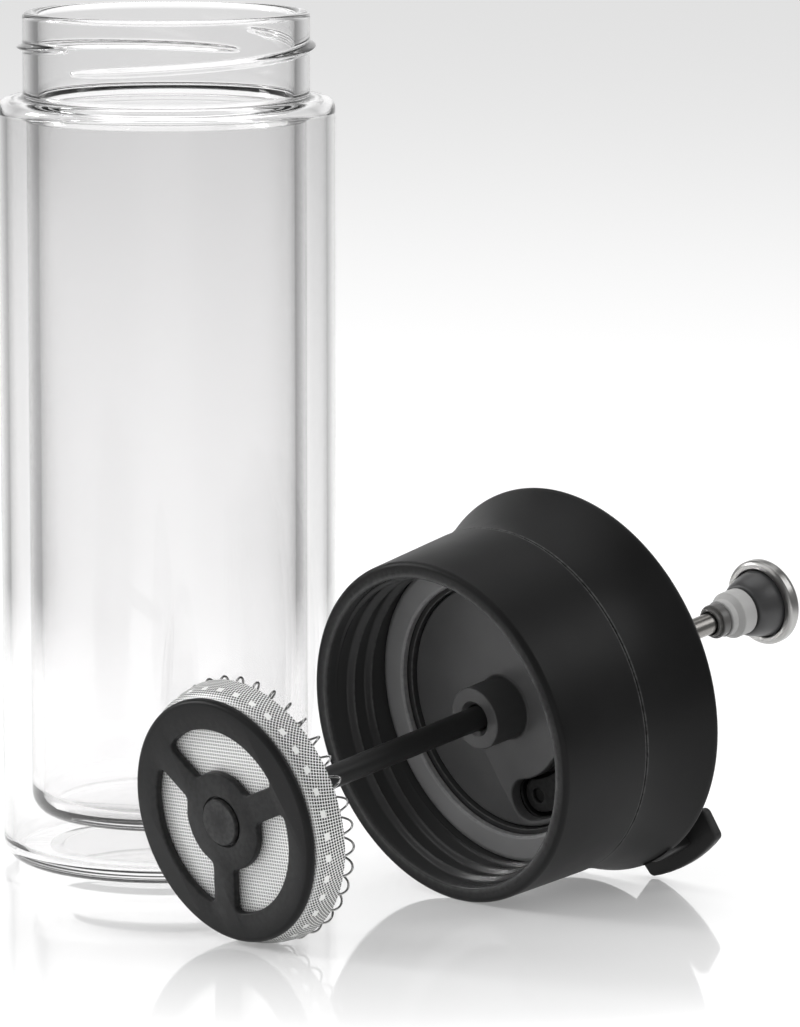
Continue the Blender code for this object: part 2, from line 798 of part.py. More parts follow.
# The least distance between points of the wire that are more than half a curl apart.
def coil_self_gap(route):
    apart = np.linalg.norm(route[:, None, :] - route[None, :, :], axis=2)
    index = np.arange(len(route))
    near = np.abs(index[:, None] - index[None, :]) < coil_points / 2 + 1
    return apart[~near].min() - coil_wire


def make_coil():
    route = coil_route()
    print('filter coil: least gap to itself %.2f mm' % (coil_self_gap(route) / mm))
    curve = bpy.data.curves.new('filter_spring', 'CURVE')
    curve.dimensions = '3D'
    curve.bevel_depth = coil_wire / 2
    curve.bevel_resolution = 1
    curve.use_fill_caps = True
    spline = curve.splines.new('POLY')
    spline.points.add(len(route) - 1)
    for point, place in zip(spline.points, route):
        point.co = (*place, 1)
    return settle(add_part('filter_spring', curve, steel, plunger))


def make_back_plate():
    low = dish_edge_foot
    outline = rounded([
        (dish_edge, low + dish_thick, 0),
        (dish_edge, low, 0),
        (dish_rise_radius, low, dish_thick),
        (dish_floor_radius, dish_floor, dish_thick),
        (core_bore, dish_floor, 0),
        (core_bore, dish_floor + dish_thick, 0),
        (dish_floor_radius, dish_floor + dish_thick, dish_thick),
        (dish_rise_radius, low + dish_thick, dish_thick)], steps=1)
    plate = turned('filter_back_plate', outline, wide_steps, steel, plunger)
    mesh = bpy.data.meshes.new('lacing_holes')
    grid = bmesh.new()
    lacing_radius = coil_ring - coil_turn
    step = 2 * math.pi / (coil_curls + 1)
    middle_radius = (dish_floor_radius + dish_rise_radius) / 2
    holes = [(lacing_radius, coil_start + index * step, lacing_hole, 6) for index in range(coil_curls + 1)]
    flow_step = 2 * math.pi / flow_count
    holes += [(middle_radius, index * flow_step, flow_hole, 12) for index in range(flow_count)]
    for place, angle, radius, sides in holes:
        spot = Matrix.Translation((place * math.cos(angle), place * math.sin(angle), coil_height))
        bmesh.ops.create_cone(grid, cap_ends=True, segments=sides, radius1=radius, radius2=radius,
                              depth=2 * coil_height, matrix=spot)
    grid.to_mesh(mesh)
    grid.free()
    return settle(boolean(plate, add_part('lacing_holes', mesh, None, plunger, cutters)))


def make_nut():
    mesh = bpy.data.meshes.new('filter_nut')
    grid = bmesh.new()
    bmesh.ops.create_cone(grid, cap_ends=True, segments=6, radius1=nut_radius, radius2=nut_radius,
                          depth=nut_height)
    grid.to_mesh(mesh)
    grid.free()
    nut = add_part('filter_nut', mesh, steel, plunger)
    nut.location = (0, 0, nut_foot + nut_height / 2)
    bore = rod_cutter('nut_bore', core_bore, nut_foot - overrun, nut_foot + nut_height + overrun, plunger)
    return settle(boolean(nut, bore))


def make_rod():
    top = knob_start + rod_knob_depth
    outline = rounded([
        (0, top, 0),
        (rod_radius, top, fit_gap),
        (rod_radius, sleeve_end + fit_gap, 0),
        (core_radius, sleeve_end + fit_gap, 0),
        (core_radius, core_tip, 0),
        (0, core_tip, 0)], steps=1, closed=False)
    return settle(turned('steel_rod', outline, small_steps, steel, plunger, closed=False))


def make_sleeve():
    outline = rounded([
        (sleeve_head, sleeve_end, fit_gap),
        (sleeve_foot, sleeve_start, 0),
        (core_bore, sleeve_start, 0),
        (core_bore, sleeve_end, 0)], steps=1)
    return settle(turned('rod_sleeve', outline, small_steps, black_soft, plunger))


def make_ferrule():
    low = ferrule_height
    outline = rounded([
        (ferrule_radius, low + ferrule_length, 0),
        (ferrule_radius, low + ferrule_nose_length, fit_gap),
        (ferrule_nose, low + ferrule_nose_length, 0),
        (ferrule_nose, low, fit_gap),
        (rod_bore, low, 0),
        (rod_bore, low + ferrule_length, 0)], steps=2)
    return settle(turned('rod_ferrule', outline, small_steps, black_gloss, plunger))


def make_neck_sleeve():
    low = neck_start
    taper = neck_large - neck_small
    outline = rounded([
        (neck_large, low + neck_length, 0),
        (neck_large, low + neck_small_length + taper, taper / 2),
        (neck_small, low + neck_small_length, 0),
        (neck_small, low, fit_gap),
        (rod_bore, low, 0),
        (rod_bore, low + neck_length, 0)], steps=1)
    return settle(turned('knob_neck_sleeve', outline, middle_steps, frosted, plunger))


def make_knob_insert():
    outer = knob_radius - knob_wall - fit_gap
    shelf = knob_edge_foot + knob_wall + fit_gap
    inside = knob_lip - fit_gap
    hollow = [(neck_large + (inside - neck_large) * share, knob_start + knob_depth * share ** 2)
              for share in np.linspace(1, 0, 5)]
    outline = dome(outer, knob_widest, knob_dome - knob_wall - fit_gap, 4)
    outline += [(outer, shelf), (inside, shelf)] + hollow
    outline += [(rod_bore, knob_start), (rod_bore, knob_start + rod_knob_depth + fit_gap),
                (0, knob_start + rod_knob_depth + fit_gap)]
    return settle(turned('knob_insert', outline, middle_steps, black_gloss, plunger, closed=False))


def make_knob_cap():
    inner = knob_radius - knob_wall
    low = knob_edge_foot
    edge = [(knob_radius - knob_wall / 2, low + knob_wall, 0), (knob_radius - knob_wall * 3 / 2, low, 0)]
    outline = dome(knob_radius, knob_widest, knob_dome, 6)
    outline += [point[:2] for point in edge]
    outline += [(knob_lip, low), (knob_lip, low + knob_wall), (inner, low + knob_wall)]
    outline += dome(inner, knob_widest, knob_dome - knob_wall, 4)[::-1]
    return settle(turned('knob_cap', outline, middle_steps, steel, plunger, closed=False))


clear_scene()
parts = new_collection('french_press_travel_mug')
cutters = new_collection('cutters')

glass = finish_material('clear_glass', (0.95, 0.97, 0.96), 0.02, clear=1.0)
black_soft = finish_material('soft_black_plastic', (0.022, 0.022, 0.023), 0.62)
black_gloss = finish_material('moulded_black_plastic', (0.03, 0.03, 0.031), 0.42)
black_rubber = finish_material('black_rubber', (0.015, 0.015, 0.015), 0.7)
silicone = finish_material('grey_silicone', (0.33, 0.33, 0.34), 0.45)
steel = finish_material('stainless_steel', (0.66, 0.65, 0.63), 0.22, metallic=1.0)
mesh_steel = finish_material('woven_steel_mesh', (0.58, 0.58, 0.57), 0.35, metallic=1.0)
frosted = finish_material('frosted_plastic', (0.62, 0.61, 0.6), 0.5)

tumbler = new_empty('tumbler_foot', Matrix.Identity(4))
lid = new_empty('lid_seat', lid_place)
plunger = new_empty('plunger_axis', plunger_place)
flap = new_empty('flap_hinge', hinge_place_matrix)
bpy.context.view_layer.update()

make_outer_wall()
make_liner()
make_collar()
make_gasket()
make_ceiling()
make_seal()
make_deck()
make_flared_shell()
make_hinge_pin()
make_flip_cap()
make_plug()
make_press_plate()
make_button()
make_screen()
make_coil()
make_back_plate()
make_nut()
make_rod()
make_sleeve()
make_ferrule()
make_neck_sleeve()
make_knob_insert()
make_knob_cap()

for cutter in cutters.objects:
    hide_cutter(cutter)

axis = (lid_place.to_3x3() @ Vector((0, 0, 1)))
across = (lid_place.to_3x3() @ Vector((0, 1, 0)))
print('lid axis', [round(value, 6) for value in axis])
print('hinge axis', [round(value, 6) for value in across])
print('plunger place', [round(value, 6) for value in plunger_place.translation])
print('lid place', [round(value, 6) for value in lid_place.translation])
print('hinge place', [round(value, 6) for value in hinge_place_matrix.translation])
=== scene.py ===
# French press travel mug: a double-wall glass tumbler, and its lid lying in front of it with the
# press plunger through it. Lengths in the dictionaries are in millimetres. The lid's pieces are
# drawn in the lid's own frame: z runs from the mouth to the rim, x points to the thumb tab. The
# plunger's pieces use the same directions, from the front of the press plate.

import json
import math

import bmesh
import bpy
import numpy as np
from mathutils import Matrix, Vector
from mathutils.geometry import tessellate_polygon


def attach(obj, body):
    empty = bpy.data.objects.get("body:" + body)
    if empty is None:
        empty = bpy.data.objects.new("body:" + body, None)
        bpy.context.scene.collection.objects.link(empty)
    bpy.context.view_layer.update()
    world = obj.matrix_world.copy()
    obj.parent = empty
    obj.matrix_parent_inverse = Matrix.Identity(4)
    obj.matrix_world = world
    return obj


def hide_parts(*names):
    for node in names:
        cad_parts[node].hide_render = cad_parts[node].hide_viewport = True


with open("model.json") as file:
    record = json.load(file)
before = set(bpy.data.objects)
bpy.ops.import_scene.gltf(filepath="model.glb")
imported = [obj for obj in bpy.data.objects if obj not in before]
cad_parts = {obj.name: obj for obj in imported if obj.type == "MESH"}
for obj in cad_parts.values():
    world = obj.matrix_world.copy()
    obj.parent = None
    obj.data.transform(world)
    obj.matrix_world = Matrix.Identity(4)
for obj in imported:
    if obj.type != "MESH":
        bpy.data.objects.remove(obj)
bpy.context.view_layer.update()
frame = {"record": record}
mm = 0.001
tau = 2 * math.pi


# The values of one piece, each read by its name
class Sizes(dict):
    __getattr__ = dict.__getitem__


# The frame of each body, from the joints of the record
joints = {joint["name"]: joint for joint in frame["record"]["behaviour"]["joints"]}
lidAxis = np.array(joints["plunger_slide"]["axis"])
acrossLid = -np.array(joints["flap_hinge"]["axis"])
towardTab = np.cross(acrossLid, lidAxis)
turnOfLid = np.stack([towardTab, acrossLid, lidAxis], axis=1)
hingeSpot = np.array([9.60059, 0.0, 30.3])
plungerReach = 64.4
lidOrigin = np.array(joints["flap_hinge"]["pos_m"]) - turnOfLid @ hingeSpot * mm
plungerOrigin = lidOrigin - lidAxis * plungerReach * mm
frames = {"tumbler": (np.zeros(3), np.eye(3)), "lid": (lidOrigin, turnOfLid), "flap": (lidOrigin, turnOfLid),
          "plunger": (plungerOrigin, turnOfLid)}


# Each corner (across, up, radius) becomes an arc tangent to both of its sides: with half the
# corner's angle h, the arc starts radius / tan(h) from the corner and its centre lies
# radius / sin(h) along the bisector. A point just past each end keeps the flats flat.
def soften(corners, steps=6, closed=True, pad=0.12):
    corners = np.array(corners, float)
    spots, radius = corners[:, :2], corners[:, 2].copy()
    if not closed:
        radius[[0, -1]] = 0
    back, ahead = np.roll(spots, 1, axis=0) - spots, np.roll(spots, -1, axis=0) - spots
    shorter = np.minimum(np.linalg.norm(back, axis=1), np.linalg.norm(ahead, axis=1))
    back, ahead = unit(back, 1e-9), unit(ahead, 1e-9)
    half = np.arccos(np.clip((back * ahead).sum(axis=1), -1, 1)) / 2
    straight = half > math.pi / 2 - 0.01
    tangent = np.where(straight, 1.0, np.tan(np.clip(half, 0.02, 1.56)))
    setback = np.where(straight, 0, np.minimum(radius / tangent, 0.48 * shorter))
    start, end = spots + back * setback[:, None], spots + ahead * setback[:, None]
    reach = setback * tangent / np.sin(np.clip(half, 0.02, 1.57))
    centre = spots + unit(back + ahead, 1e-9) * reach[:, None]
    turn = np.where(straight, 1.0, math.pi - 2 * half)[:, None, None]
    share = np.linspace(0, 1, steps + 1)[None, :, None]
    arcs = centre[:, None] + (np.sin((1 - share) * turn) * (start - centre)[:, None]
                              + np.sin(share * turn) * (end - centre)[:, None]) / np.sin(turn)
    padding = np.where(setback > 0, np.minimum(pad, 0.02 * shorter), 0)[:, None]
    before, after = start + back * padding, end + ahead * padding
    points = np.concatenate([before[:, None], arcs, after[:, None]], axis=1).reshape(-1, 2)
    keep = np.linalg.norm(np.roll(points, -1, axis=0) - points, axis=1) > 1e-5
    if not closed:
        keep[-1] = True
    return points[keep]


# Points at a radius and an angle round Z: (r cos a, r sin a), and a third number where one is given
def polar(radius, angle, *third):
    return np.stack(np.broadcast_arrays(radius * np.cos(angle), radius * np.sin(angle), *third), axis=-1)


def fullTurn(columns):
    return np.linspace(0, tau, columns, endpoint=False)


def circle(radius, columns=192, middle=(0, 0)):
    return middle + polar(radius, fullTurn(columns))


# A profile of (radius, height) spun round Z
def spun(profile, columns=192):
    radius, height = np.asarray(profile).T[:, :, None]
    return polar(radius, fullTurn(columns), height)


# The same laid along Y through a point: (x + r cos a, h, z + r sin a)
def spunAcross(profile, columns, x, z):
    points = spun(profile, columns)
    return np.stack([x + points[..., 0], points[..., 2], z + points[..., 1]], axis=-1)


# Vectors of length one
def unit(vectors, least=0.0):
    return vectors / np.maximum(np.linalg.norm(vectors, axis=-1, keepdims=True), least)


# Quads between neighbouring rows and columns of a grid of points, whose columns close round
def gridSurface(points, closeRows=False):
    rows, columns = points.shape[:2]
    row = np.arange(rows if closeRows else rows - 1)[:, None]
    column = np.arange(columns)[None, :]
    nextRow, nextColumn = (row + 1) % rows, (column + 1) % columns
    quads = np.stack([row * columns + column, row * columns + nextColumn,
                      nextRow * columns + nextColumn, nextRow * columns + column], axis=-1)
    return points.reshape(-1, 3), quads.reshape(-1, 4)


# A flat face inside the first loop and outside the others, as triangles
def fillSurface(*loops):
    triangles = tessellate_polygon([[Vector(point) for point in loop] for loop in loops])
    triangles = np.array([tuple(triangle) for triangle in triangles], int)
    return np.concatenate(loops), np.concatenate([triangles, triangles[:, 2:]], axis=1)


# A flat outline moved sideways: each point goes along its normal, away from the inside of a hole
# or into the inside of an outer edge, by the first number of each row; the second is its height.
def edgeWall(outline, rows, hole):
    along = np.roll(outline, -1, axis=0) - np.roll(outline, 1, axis=0)
    normal = unit(np.stack([along[:, 1], -along[:, 0]], axis=1))
    x, y = outline.T
    anticlockwise = (x * np.roll(y, -1) - y * np.roll(x, -1)).sum() > 0
    normal = normal * (1 if anticlockwise == hole else -1)
    rows = np.array(rows, float)
    flat = outline[None] + normal[None] * rows[:, :1, None]
    return np.concatenate([flat, np.repeat(rows[:, 1:, None], len(outline), axis=1)], axis=2)


# A plate: its outer edge, and then its holes, are walls between two flat faces. Each is given as
# (outline, rows). Blind holes are closed at their far end.
def plateSurfaces(edge, holes=(), blindHoles=()):
    walls = [edgeWall(*edge, False)] + [edgeWall(*hole, True) for hole in (*holes, *blindHoles)]
    through = len(holes) + 1
    faces = [fillSurface(*[wall[0] for wall in walls]), fillSurface(*[wall[-1] for wall in walls[:through]])]
    floors = [fillSurface(wall[-1]) for wall in walls[through:]]
    return [gridSurface(wall) for wall in walls] + faces + floors


# Joins surfaces into one closed shell: points at the same spot become one, quads with a doubled
# corner become triangles.
def weldedShell(surfaces):
    counts = np.cumsum([0] + [len(points) for points, faces in surfaces])
    points = np.concatenate([points for points, faces in surfaces])
    faces = np.concatenate([faces + count for (spots, faces), count in zip(surfaces, counts)])
    keys, first, inverse = np.unique(np.round(points / 2e-4).astype(np.int64), axis=0,
                                     return_index=True, return_inverse=True)
    faces = inverse.reshape(-1)[faces]
    doubled = faces == np.roll(faces, -1, axis=1)
    quads = faces[doubled.sum(axis=1) == 0]
    single = doubled.sum(axis=1) == 1
    triangles = faces[single][~doubled[single]].reshape(-1, 3)
    return points[first], quads.tolist() + triangles.tolist()


def readRows(items, label, width=3, kind=float):
    values = np.empty(len(items) * width, kind)
    items.foreach_get(label, values)
    return values.reshape(-1, width)


def addObject(name, data):
    item = bpy.data.objects.new(name, data)
    bpy.context.scene.collection.objects.link(item)
    return item


# Marks where a piece bulges tightly, for a painted highlight along its edges. Along an edge with ends p and
# q and normals n and m, the bulge is (m - n) . (q - p) / |q - p|^2, which is one over the radius.
def markEdges(mesh, soft=1.3, tight=3.5):
    first, second = readRows(mesh.edges, "vertices", 2, int).T
    spots, normals = readRows(mesh.vertices, "co") / mm, readRows(mesh.vertex_normals, "vector")
    span = spots[second] - spots[first]
    bulge = ((normals[second] - normals[first]) * span).sum(axis=1)
    bulge = bulge / np.maximum((span ** 2).sum(axis=1), 1e-6)
    most = np.zeros(len(spots))
    np.maximum.at(most, first, bulge)
    np.maximum.at(most, second, bulge)
    edgeLight = np.clip((most - soft) / (tight - soft), 0, 1)
    mesh.attributes.new("edge", "FLOAT", "POINT").data.foreach_set("value", edgeLight)


# A finished piece from one or more closed shells, each a list of surfaces in millimetres. The
# last `inner` shells bound hollows, so they face inward. Its attribute "local" keeps the place in the
# body's own frame. A piece that is still to be cut is made in the frame of another body.
def makePiece(name, shells, body, material, slotName, nodes, inner=0, sharp=38, place=None):
    origin, turn = frames[place or body]
    mesh = bpy.data.meshes.new(name)
    work = bmesh.new()
    for index, surfaces in enumerate(shells):
        points, faces = weldedShell(surfaces)
        shell = bmesh.new()
        spare = bpy.data.meshes.new("spare")
        spare.from_pydata(points.tolist(), [], faces)
        shell.from_mesh(spare)
        bmesh.ops.recalc_face_normals(shell, faces=shell.faces)
        outward = shell.calc_volume(signed=True) > 0
        if outward == (index >= len(shells) - inner):
            bmesh.ops.reverse_faces(shell, faces=shell.faces)
        shell.to_mesh(spare)
        shell.free()
        work.from_mesh(spare)
        bpy.data.meshes.remove(spare)
    work.to_mesh(mesh)
    work.free()
    local = readRows(mesh.vertices, "co")
    mesh.vertices.foreach_set("co", (origin + local @ turn.T * mm).ravel())
    mesh.attributes.new("local", "FLOAT_VECTOR", "POINT").data.foreach_set("vector", local.ravel())
    mesh.set_sharp_from_angle(angle=math.radians(sharp))
    mesh.update()
    markEdges(mesh)
    mesh.materials.append(material)
    piece = addObject(name, mesh)
    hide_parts(*nodes.split())
    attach(piece, body)
    return piece


# The corners of a plain tube, all rounded alike
def tubeCorners(outer, bore, foot, top, edge):
    return [(outer, top, edge), (outer, foot, edge), (bore, foot, edge), (bore, top, edge)]


def spunPiece(name, corners, body, material, slotName, nodes, columns=192, steps=6, closed=True, **more):
    profile = soften(corners, steps=steps, closed=closed)
    surfaces = [gridSurface(spun(profile, columns), closeRows=closed)]
    return makePiece(name, [surfaces], body, material, slotName, nodes, **more)


# Materials. A Value is a number, vector or colour in a node tree; each operator on it adds a Math node.
class Value:
    def __init__(self, tree, socket):
        self.tree, self.socket = tree, socket

    def op(self, operation, *others, flip=False):
        values = (*others, self) if flip else (self, *others)
        return addNode(self.tree, "Math", 0, dict(enumerate(values)), operation=operation)

    def __add__(self, other):
        return self.op("ADD", other)

    def __radd__(self, other):
        return self.op("ADD", other, flip=True)

    def __sub__(self, other):
        return self.op("SUBTRACT", other)

    def __rsub__(self, other):
        return self.op("SUBTRACT", other, flip=True)

    def __mul__(self, other):
        return self.op("MULTIPLY", other)

    def __truediv__(self, other):
        return self.op("DIVIDE", other)

    def __abs__(self):
        return self.op("ABSOLUTE")


# Links a Value to a node's input, or sets the input. One number for a colour is a grey.
def feed(node, label, value):
    socket = node.inputs[label]
    if isinstance(value, Value):
        value.tree.links.new(value.socket, socket)
    elif socket.type == "RGBA":
        socket.default_value = (*(value if isinstance(value, tuple) else (value,) * 3), 1)
    else:
        socket.default_value = value


# A new node with its settings and inputs. It gives one output, or all where none is asked for.
def addNode(tree, kind, output, inputs, **settings):
    node = tree.nodes.new("ShaderNode" + kind)
    for label, value in settings.items():
        setattr(node, label, value)
    for label, value in inputs.items():
        feed(node, label, value)
    if output is None:
        return [Value(tree, socket) for socket in node.outputs]
    return Value(tree, node.outputs[output])


def remap(value, low, high, start=0.0, end=1.0):
    return addNode(value.tree, "MapRange", 0, {
        "Value": value, "From Min": low, "From Max": high, "To Min": start, "To Max": end})


def noise(vector, scale, detail=2.0, roughness=0.5):
    return addNode(vector.tree, "TexNoise", "Fac", {
        "Vector": vector, "Scale": scale, "Detail": detail, "Roughness": roughness})


def blend(mask, low, high):
    return addNode(mask.tree, "Mix", "Result", {"Factor": mask, "A": low, "B": high}, data_type="RGBA")


def coordinates(vector):
    return addNode(vector.tree, "SeparateXYZ", None, {0: vector})


def objectSpot(tree):
    return addNode(tree, "TexCoord", "Object", {})


# The place in the piece's own frame in millimetres, which every piece keeps for its patterns
def localSpot(tree):
    return addNode(tree, "Attribute", "Vector", {}, attribute_name="local")


def lightRays(tree, *kinds):
    return [addNode(tree, "LightPath", "Is " + kind + " Ray", {}) for kind in kinds]


def newMaterial(name, **sockets):
    material = bpy.data.materials.new(name)
    material.use_nodes = True
    shader = material.node_tree.nodes["Principled BSDF"]
    for label, value in sockets.items():
        feed(shader, label.replace("_", " "), value)
    return material, material.node_tree, shader


def bumpInto(shader, height, strength, distance):
    feed(shader, "Normal", addNode(height.tree, "Bump", 0, {
        "Strength": strength, "Distance": distance, "Height": height}))


# A node group: an input without a starting value is a vector, the others are numbers
def newGroup(name, inputs, outputs):
    tree = bpy.data.node_groups.new(name, "ShaderNodeTree")
    for label, start in inputs.items():
        kind = "NodeSocketVector" if start is None else "NodeSocketFloat"
        socket = tree.interface.new_socket(name=label, in_out="INPUT", socket_type=kind)
        if start is not None:
            socket.default_value = start
    for label in outputs:
        tree.interface.new_socket(name=label, in_out="OUTPUT", socket_type="NodeSocketFloat")
    given = tree.nodes.new("NodeGroupInput")
    return tree, [Value(tree, socket) for socket in given.outputs[:len(inputs)]]


def closeGroup(tree, *values):
    result = tree.nodes.new("NodeGroupOutput")
    for index, value in enumerate(values):
        feed(result, index, value)
    return tree


def addGroup(group, vector, **values):
    return addNode(vector.tree, "Group", None, {0: vector, **values}, node_tree=group)


# Three of these values scale and break up the painted highlight on the pieces' tight edges.
grainFinish = Sizes(coarse=420.0, clouds=45.0, fleckGain=6.0, clouding=(0.35, 0.65), patchy=(0.3, 0.7),
                    uneven=0.05, rubScale=900.0, rubRange=(0.35, 0.6), rubLeast=0.35, depth=0.00004)
brushFinish = Sizes(smudges=0.22, perTurn=0.15, smudged=0.3, spread=(0.25, 0.75), depth=0.00002)
glassFinish = Sizes(colour=(0.99, 0.988, 0.989), index=1.47, smudges=60.0, smudgeRange=(0.4, 0.8), dull=0.02,
                    ripples=38.0, rippling=0.05, depth=0.0006, shadowPass=0.88)
# Of the cloth's colours, the near-white one is a painted highlight, the two dark wire colours are painted
# shade, and the gaps' colours are painted shade and a painted reflection.
meshFinish = Sizes(
    pitch=0.74, wire=0.22, wireDark=0.03, wireLight=(1.0, 1.0, 0.99), gap=0.003, flatDark=0.55, gapFlat=0.3,
    bandStart=(2.4, 3.0), patches=36, patchTurn=math.radians(125.2), patchWidth=0.16, patchHeight=4.2,
    patchLong=0.5, patchRagged=0.16, ragScale=1500.0, sideSoft=0.03, endSoft=0.1, metallic=0.3,
    roughness=0.42, bump=0.5, depth=0.0001)


# Moulded grain: fine noise over a coarser one, and sparse light flecks
def buildGrainGroup(values):
    tree, (vector, scale, flecks) = newGroup(
        "mouldedGrain", {"Vector": None, "Scale": 4000.0, "Flecks": 0.66}, ["Height", "Fleck", "Cloud"])
    fine = noise(vector, scale, 3.0, 0.6)
    fleck = ((fine - flecks) * values.fleckGain).op("MAXIMUM", 0.0).op("MINIMUM", 1.0)
    height = fine + noise(vector, values.coarse) * 0.5
    return closeGroup(tree, height, fleck, noise(vector, values.clouds, 3.0))


# Brushed metal: noise drawn out round the axis of the piece, so that its lines run round it.
# It reads radius and height, and hardly the angle.
def buildBrushGroup(values):
    tree, (local, scale) = newGroup("brushedRound", {"Local": None, "Scale": 6.0}, ["Lines", "Smudge"])
    x, y, z = coordinates(local)
    drawn = addNode(tree, "CombineXYZ", 0, {
        0: (x * x + y * y).op("SQRT"), 1: z, 2: abs(y.op("ARCTAN2", x)) * values.perTurn})
    return closeGroup(tree, noise(drawn, scale, 4.0, 0.7), noise(local, values.smudges, 3.0))


# Plain weave over the plane of the screen, its threads turned about the rod. With p the pitch, warp
# and weft are bands of half width w round every multiple of p, each rising and dipping by
# cos(pi x / p) as it goes over and under the other. Over the flared edge, above the given foot, the
# cloth runs on outward by the height that it gains.
def buildWeaveGroup(turn=math.radians(26.5), foot=2.2, soft=0.04, tallest=2.5, shading=(0.6, 2.2)):
    tree, (local, pitch, wire) = newGroup(
        "wireWeave", {"Local": None, "Pitch": 0.5, "Wire": 0.3}, ["Wires", "Height", "WeaveShading"])
    x, y, z = coordinates(local)
    radius = (x * x + y * y).op("SQRT")
    stretch = 1.0 + (z - foot).op("MAXIMUM", 0.0) / radius.op("MAXIMUM", 1.0)
    cosine, sine = math.cos(turn), math.sin(turn)
    cells = [along * stretch / pitch for along in (x * cosine + y * sine, y * cosine - x * sine)]
    heights, masks = [], []
    for cell, other, shift in ((*cells, 0.0), (*cells[::-1], 1.0)):
        distance = abs(cell.op("FRACT") - 0.5)
        mask = remap(wire - distance, -soft, soft)
        wave = ((other - 0.5 + (cell.op("FLOOR") + shift)) * math.pi).op("COSINE")
        crown = 1.0 - (distance / wire).op("MINIMUM", 1.0).op("POWER", 2.0)
        heights.append(mask * (wave * 0.5 + 1.0 + crown))
        masks.append(mask)
    # The third output follows the threads' height: painted light on their crowns, painted shade where they
    # dip under.
    top = heights[0].op("MAXIMUM", heights[1])
    return closeGroup(tree, masks[0].op("MAXIMUM", masks[1]), top / tallest, remap(top, *shading))


grainGroup = buildGrainGroup(grainFinish)
brushGroup = buildBrushGroup(brushFinish)
weaveGroup = buildWeaveGroup()


# Plastic or rubber: two shades clouded into each other, flecked by the grain, and lightened on the edges
# that stand out by a painted highlight. Inside a given radius it may have a roughness of its own and a
# painted level of light: lighter inside the collar's bore, darker on the ceiling's boss.
def grainedMaterial(name, dark, light, fleck, roughness, grain=4000.0, bump=0.15, specular=0.5, edgeHighlight=0.09,
                    edgeLight=0.5, inner=None, values=grainFinish):
    material, tree, shader = newMaterial(name, Specular_IOR_Level=specular)
    spot = objectSpot(tree)
    height, flecks, cloud = addGroup(grainGroup, spot, Scale=grain)
    shade = blend(remap(cloud, *values.clouding), dark, light)
    rough = remap(cloud, *values.patchy, roughness - values.uneven, roughness + values.uneven)
    if inner:
        within, beyond, innerPaintedLevel, innerRoughness = inner
        flat = addNode(tree, "VectorMath", 0, {0: localSpot(tree), 1: (1, 1, 0)}, operation="MULTIPLY")
        zone = remap(addNode(tree, "VectorMath", "Value", {0: flat}, operation="LENGTH"), within, beyond)
        shade = blend(zone, innerPaintedLevel, shade)
        rough = rough * zone + (1.0 - zone) * innerRoughness
    # The tight edges are painted towards a lighter colour, broken up by noise: a painted highlight.
    broken = remap(noise(spot, values.rubScale, 3.0), *values.rubRange, values.rubLeast, 1.0)
    litEdge = addNode(tree, "Attribute", "Fac", {}, attribute_name="edge") * broken * edgeLight
    feed(shader, "Base Color", blend(litEdge, blend(flecks, shade, fleck), edgeHighlight))
    feed(shader, "Roughness", rough)
    bumpInto(shader, height, bump, values.depth)
    return material


def brushedMaterial(name, dark, light, roughness, scale, bump, contrast, values=brushFinish):
    material, tree, shader = newMaterial(name, Metallic=1.0)
    lines, smudge = addGroup(brushGroup, localSpot(tree), Scale=scale)
    feed(shader, "Base Color", blend(lines, dark, light))
    mixed = lines * (1 - values.smudged) + smudge * values.smudged
    feed(shader, "Roughness", remap(mixed, *values.spread, roughness - contrast, roughness + contrast))
    bumpInto(shader, lines, bump, values.depth)
    return material


# Clear glass. It lets most of the lamps' light through, so that it hardly darkens the floor.
def clearGlassMaterial(values):
    material, tree, shader = newMaterial("clearGlass", Base_Color=values.colour, IOR=values.index,
                                         Transmission_Weight=1.0, Metallic=0.0)
    spot = objectSpot(tree)
    feed(shader, "Roughness", remap(noise(spot, values.smudges, 3.0), *values.smudgeRange, 0.0, values.dull))
    bumpInto(shader, noise(spot, values.ripples, 1.0), values.rippling, values.depth)
    feed(shader, "Alpha", 1.0 - lightRays(tree, "Shadow")[0] * values.shadowPass)
    return material


# The cloth's gaps are painted almost black on the bulging band, painted shade for the filter's dark inside,
# and light grey behind the windows, a painted reflection of the steel plate behind. Where a curl of the wire
# presses against it from behind, a small white patch is painted, one for each curl: a painted highlight of
# the wire.
def meshMaterial(values):
    material, tree, shader = newMaterial("wovenSteelMesh", Metallic=values.metallic,
                                         Roughness=values.roughness)
    local = localSpot(tree)
    wires, height, weaveShading = addGroup(weaveGroup, local, Pitch=values.pitch, Wire=values.wire)
    x, y, z = coordinates(local)
    band = remap(z, *values.bandStart)
    # The wires are painted from their dark colour up to near white by the weave's height: painted highlight
    # on the crowns, painted shade in the dips.
    shade = blend(weaveShading, blend(band, values.flatDark, values.wireDark), values.wireLight)
    # Each curl's patch is painted with the near-white wire colour: a painted highlight of the wire behind
    # the cloth.
    share = (y.op("ARCTAN2", x) - values.patchTurn) * (values.patches / tau)
    ragged = (noise(objectSpot(tree), values.ragScale) - 0.5) * values.patchRagged
    width, length = values.patchWidth, values.patchLong
    across = remap(abs(share.op("FRACT") - 0.5) + ragged, width + values.sideSoft, width)
    patch = across * remap(abs(z - values.patchHeight) + ragged, length + values.endSoft, length)
    # The gaps' two colours are painted shade on the band and a painted reflection behind the windows.
    gap = blend(band, values.gapFlat, values.gap)
    feed(shader, "Base Color", blend(wires.op("MAXIMUM", patch), gap, blend(patch, shade, values.wireLight)))
    bumpInto(shader, height, values.bump, values.depth)
    return material


clearGlass = clearGlassMaterial(glassFinish)
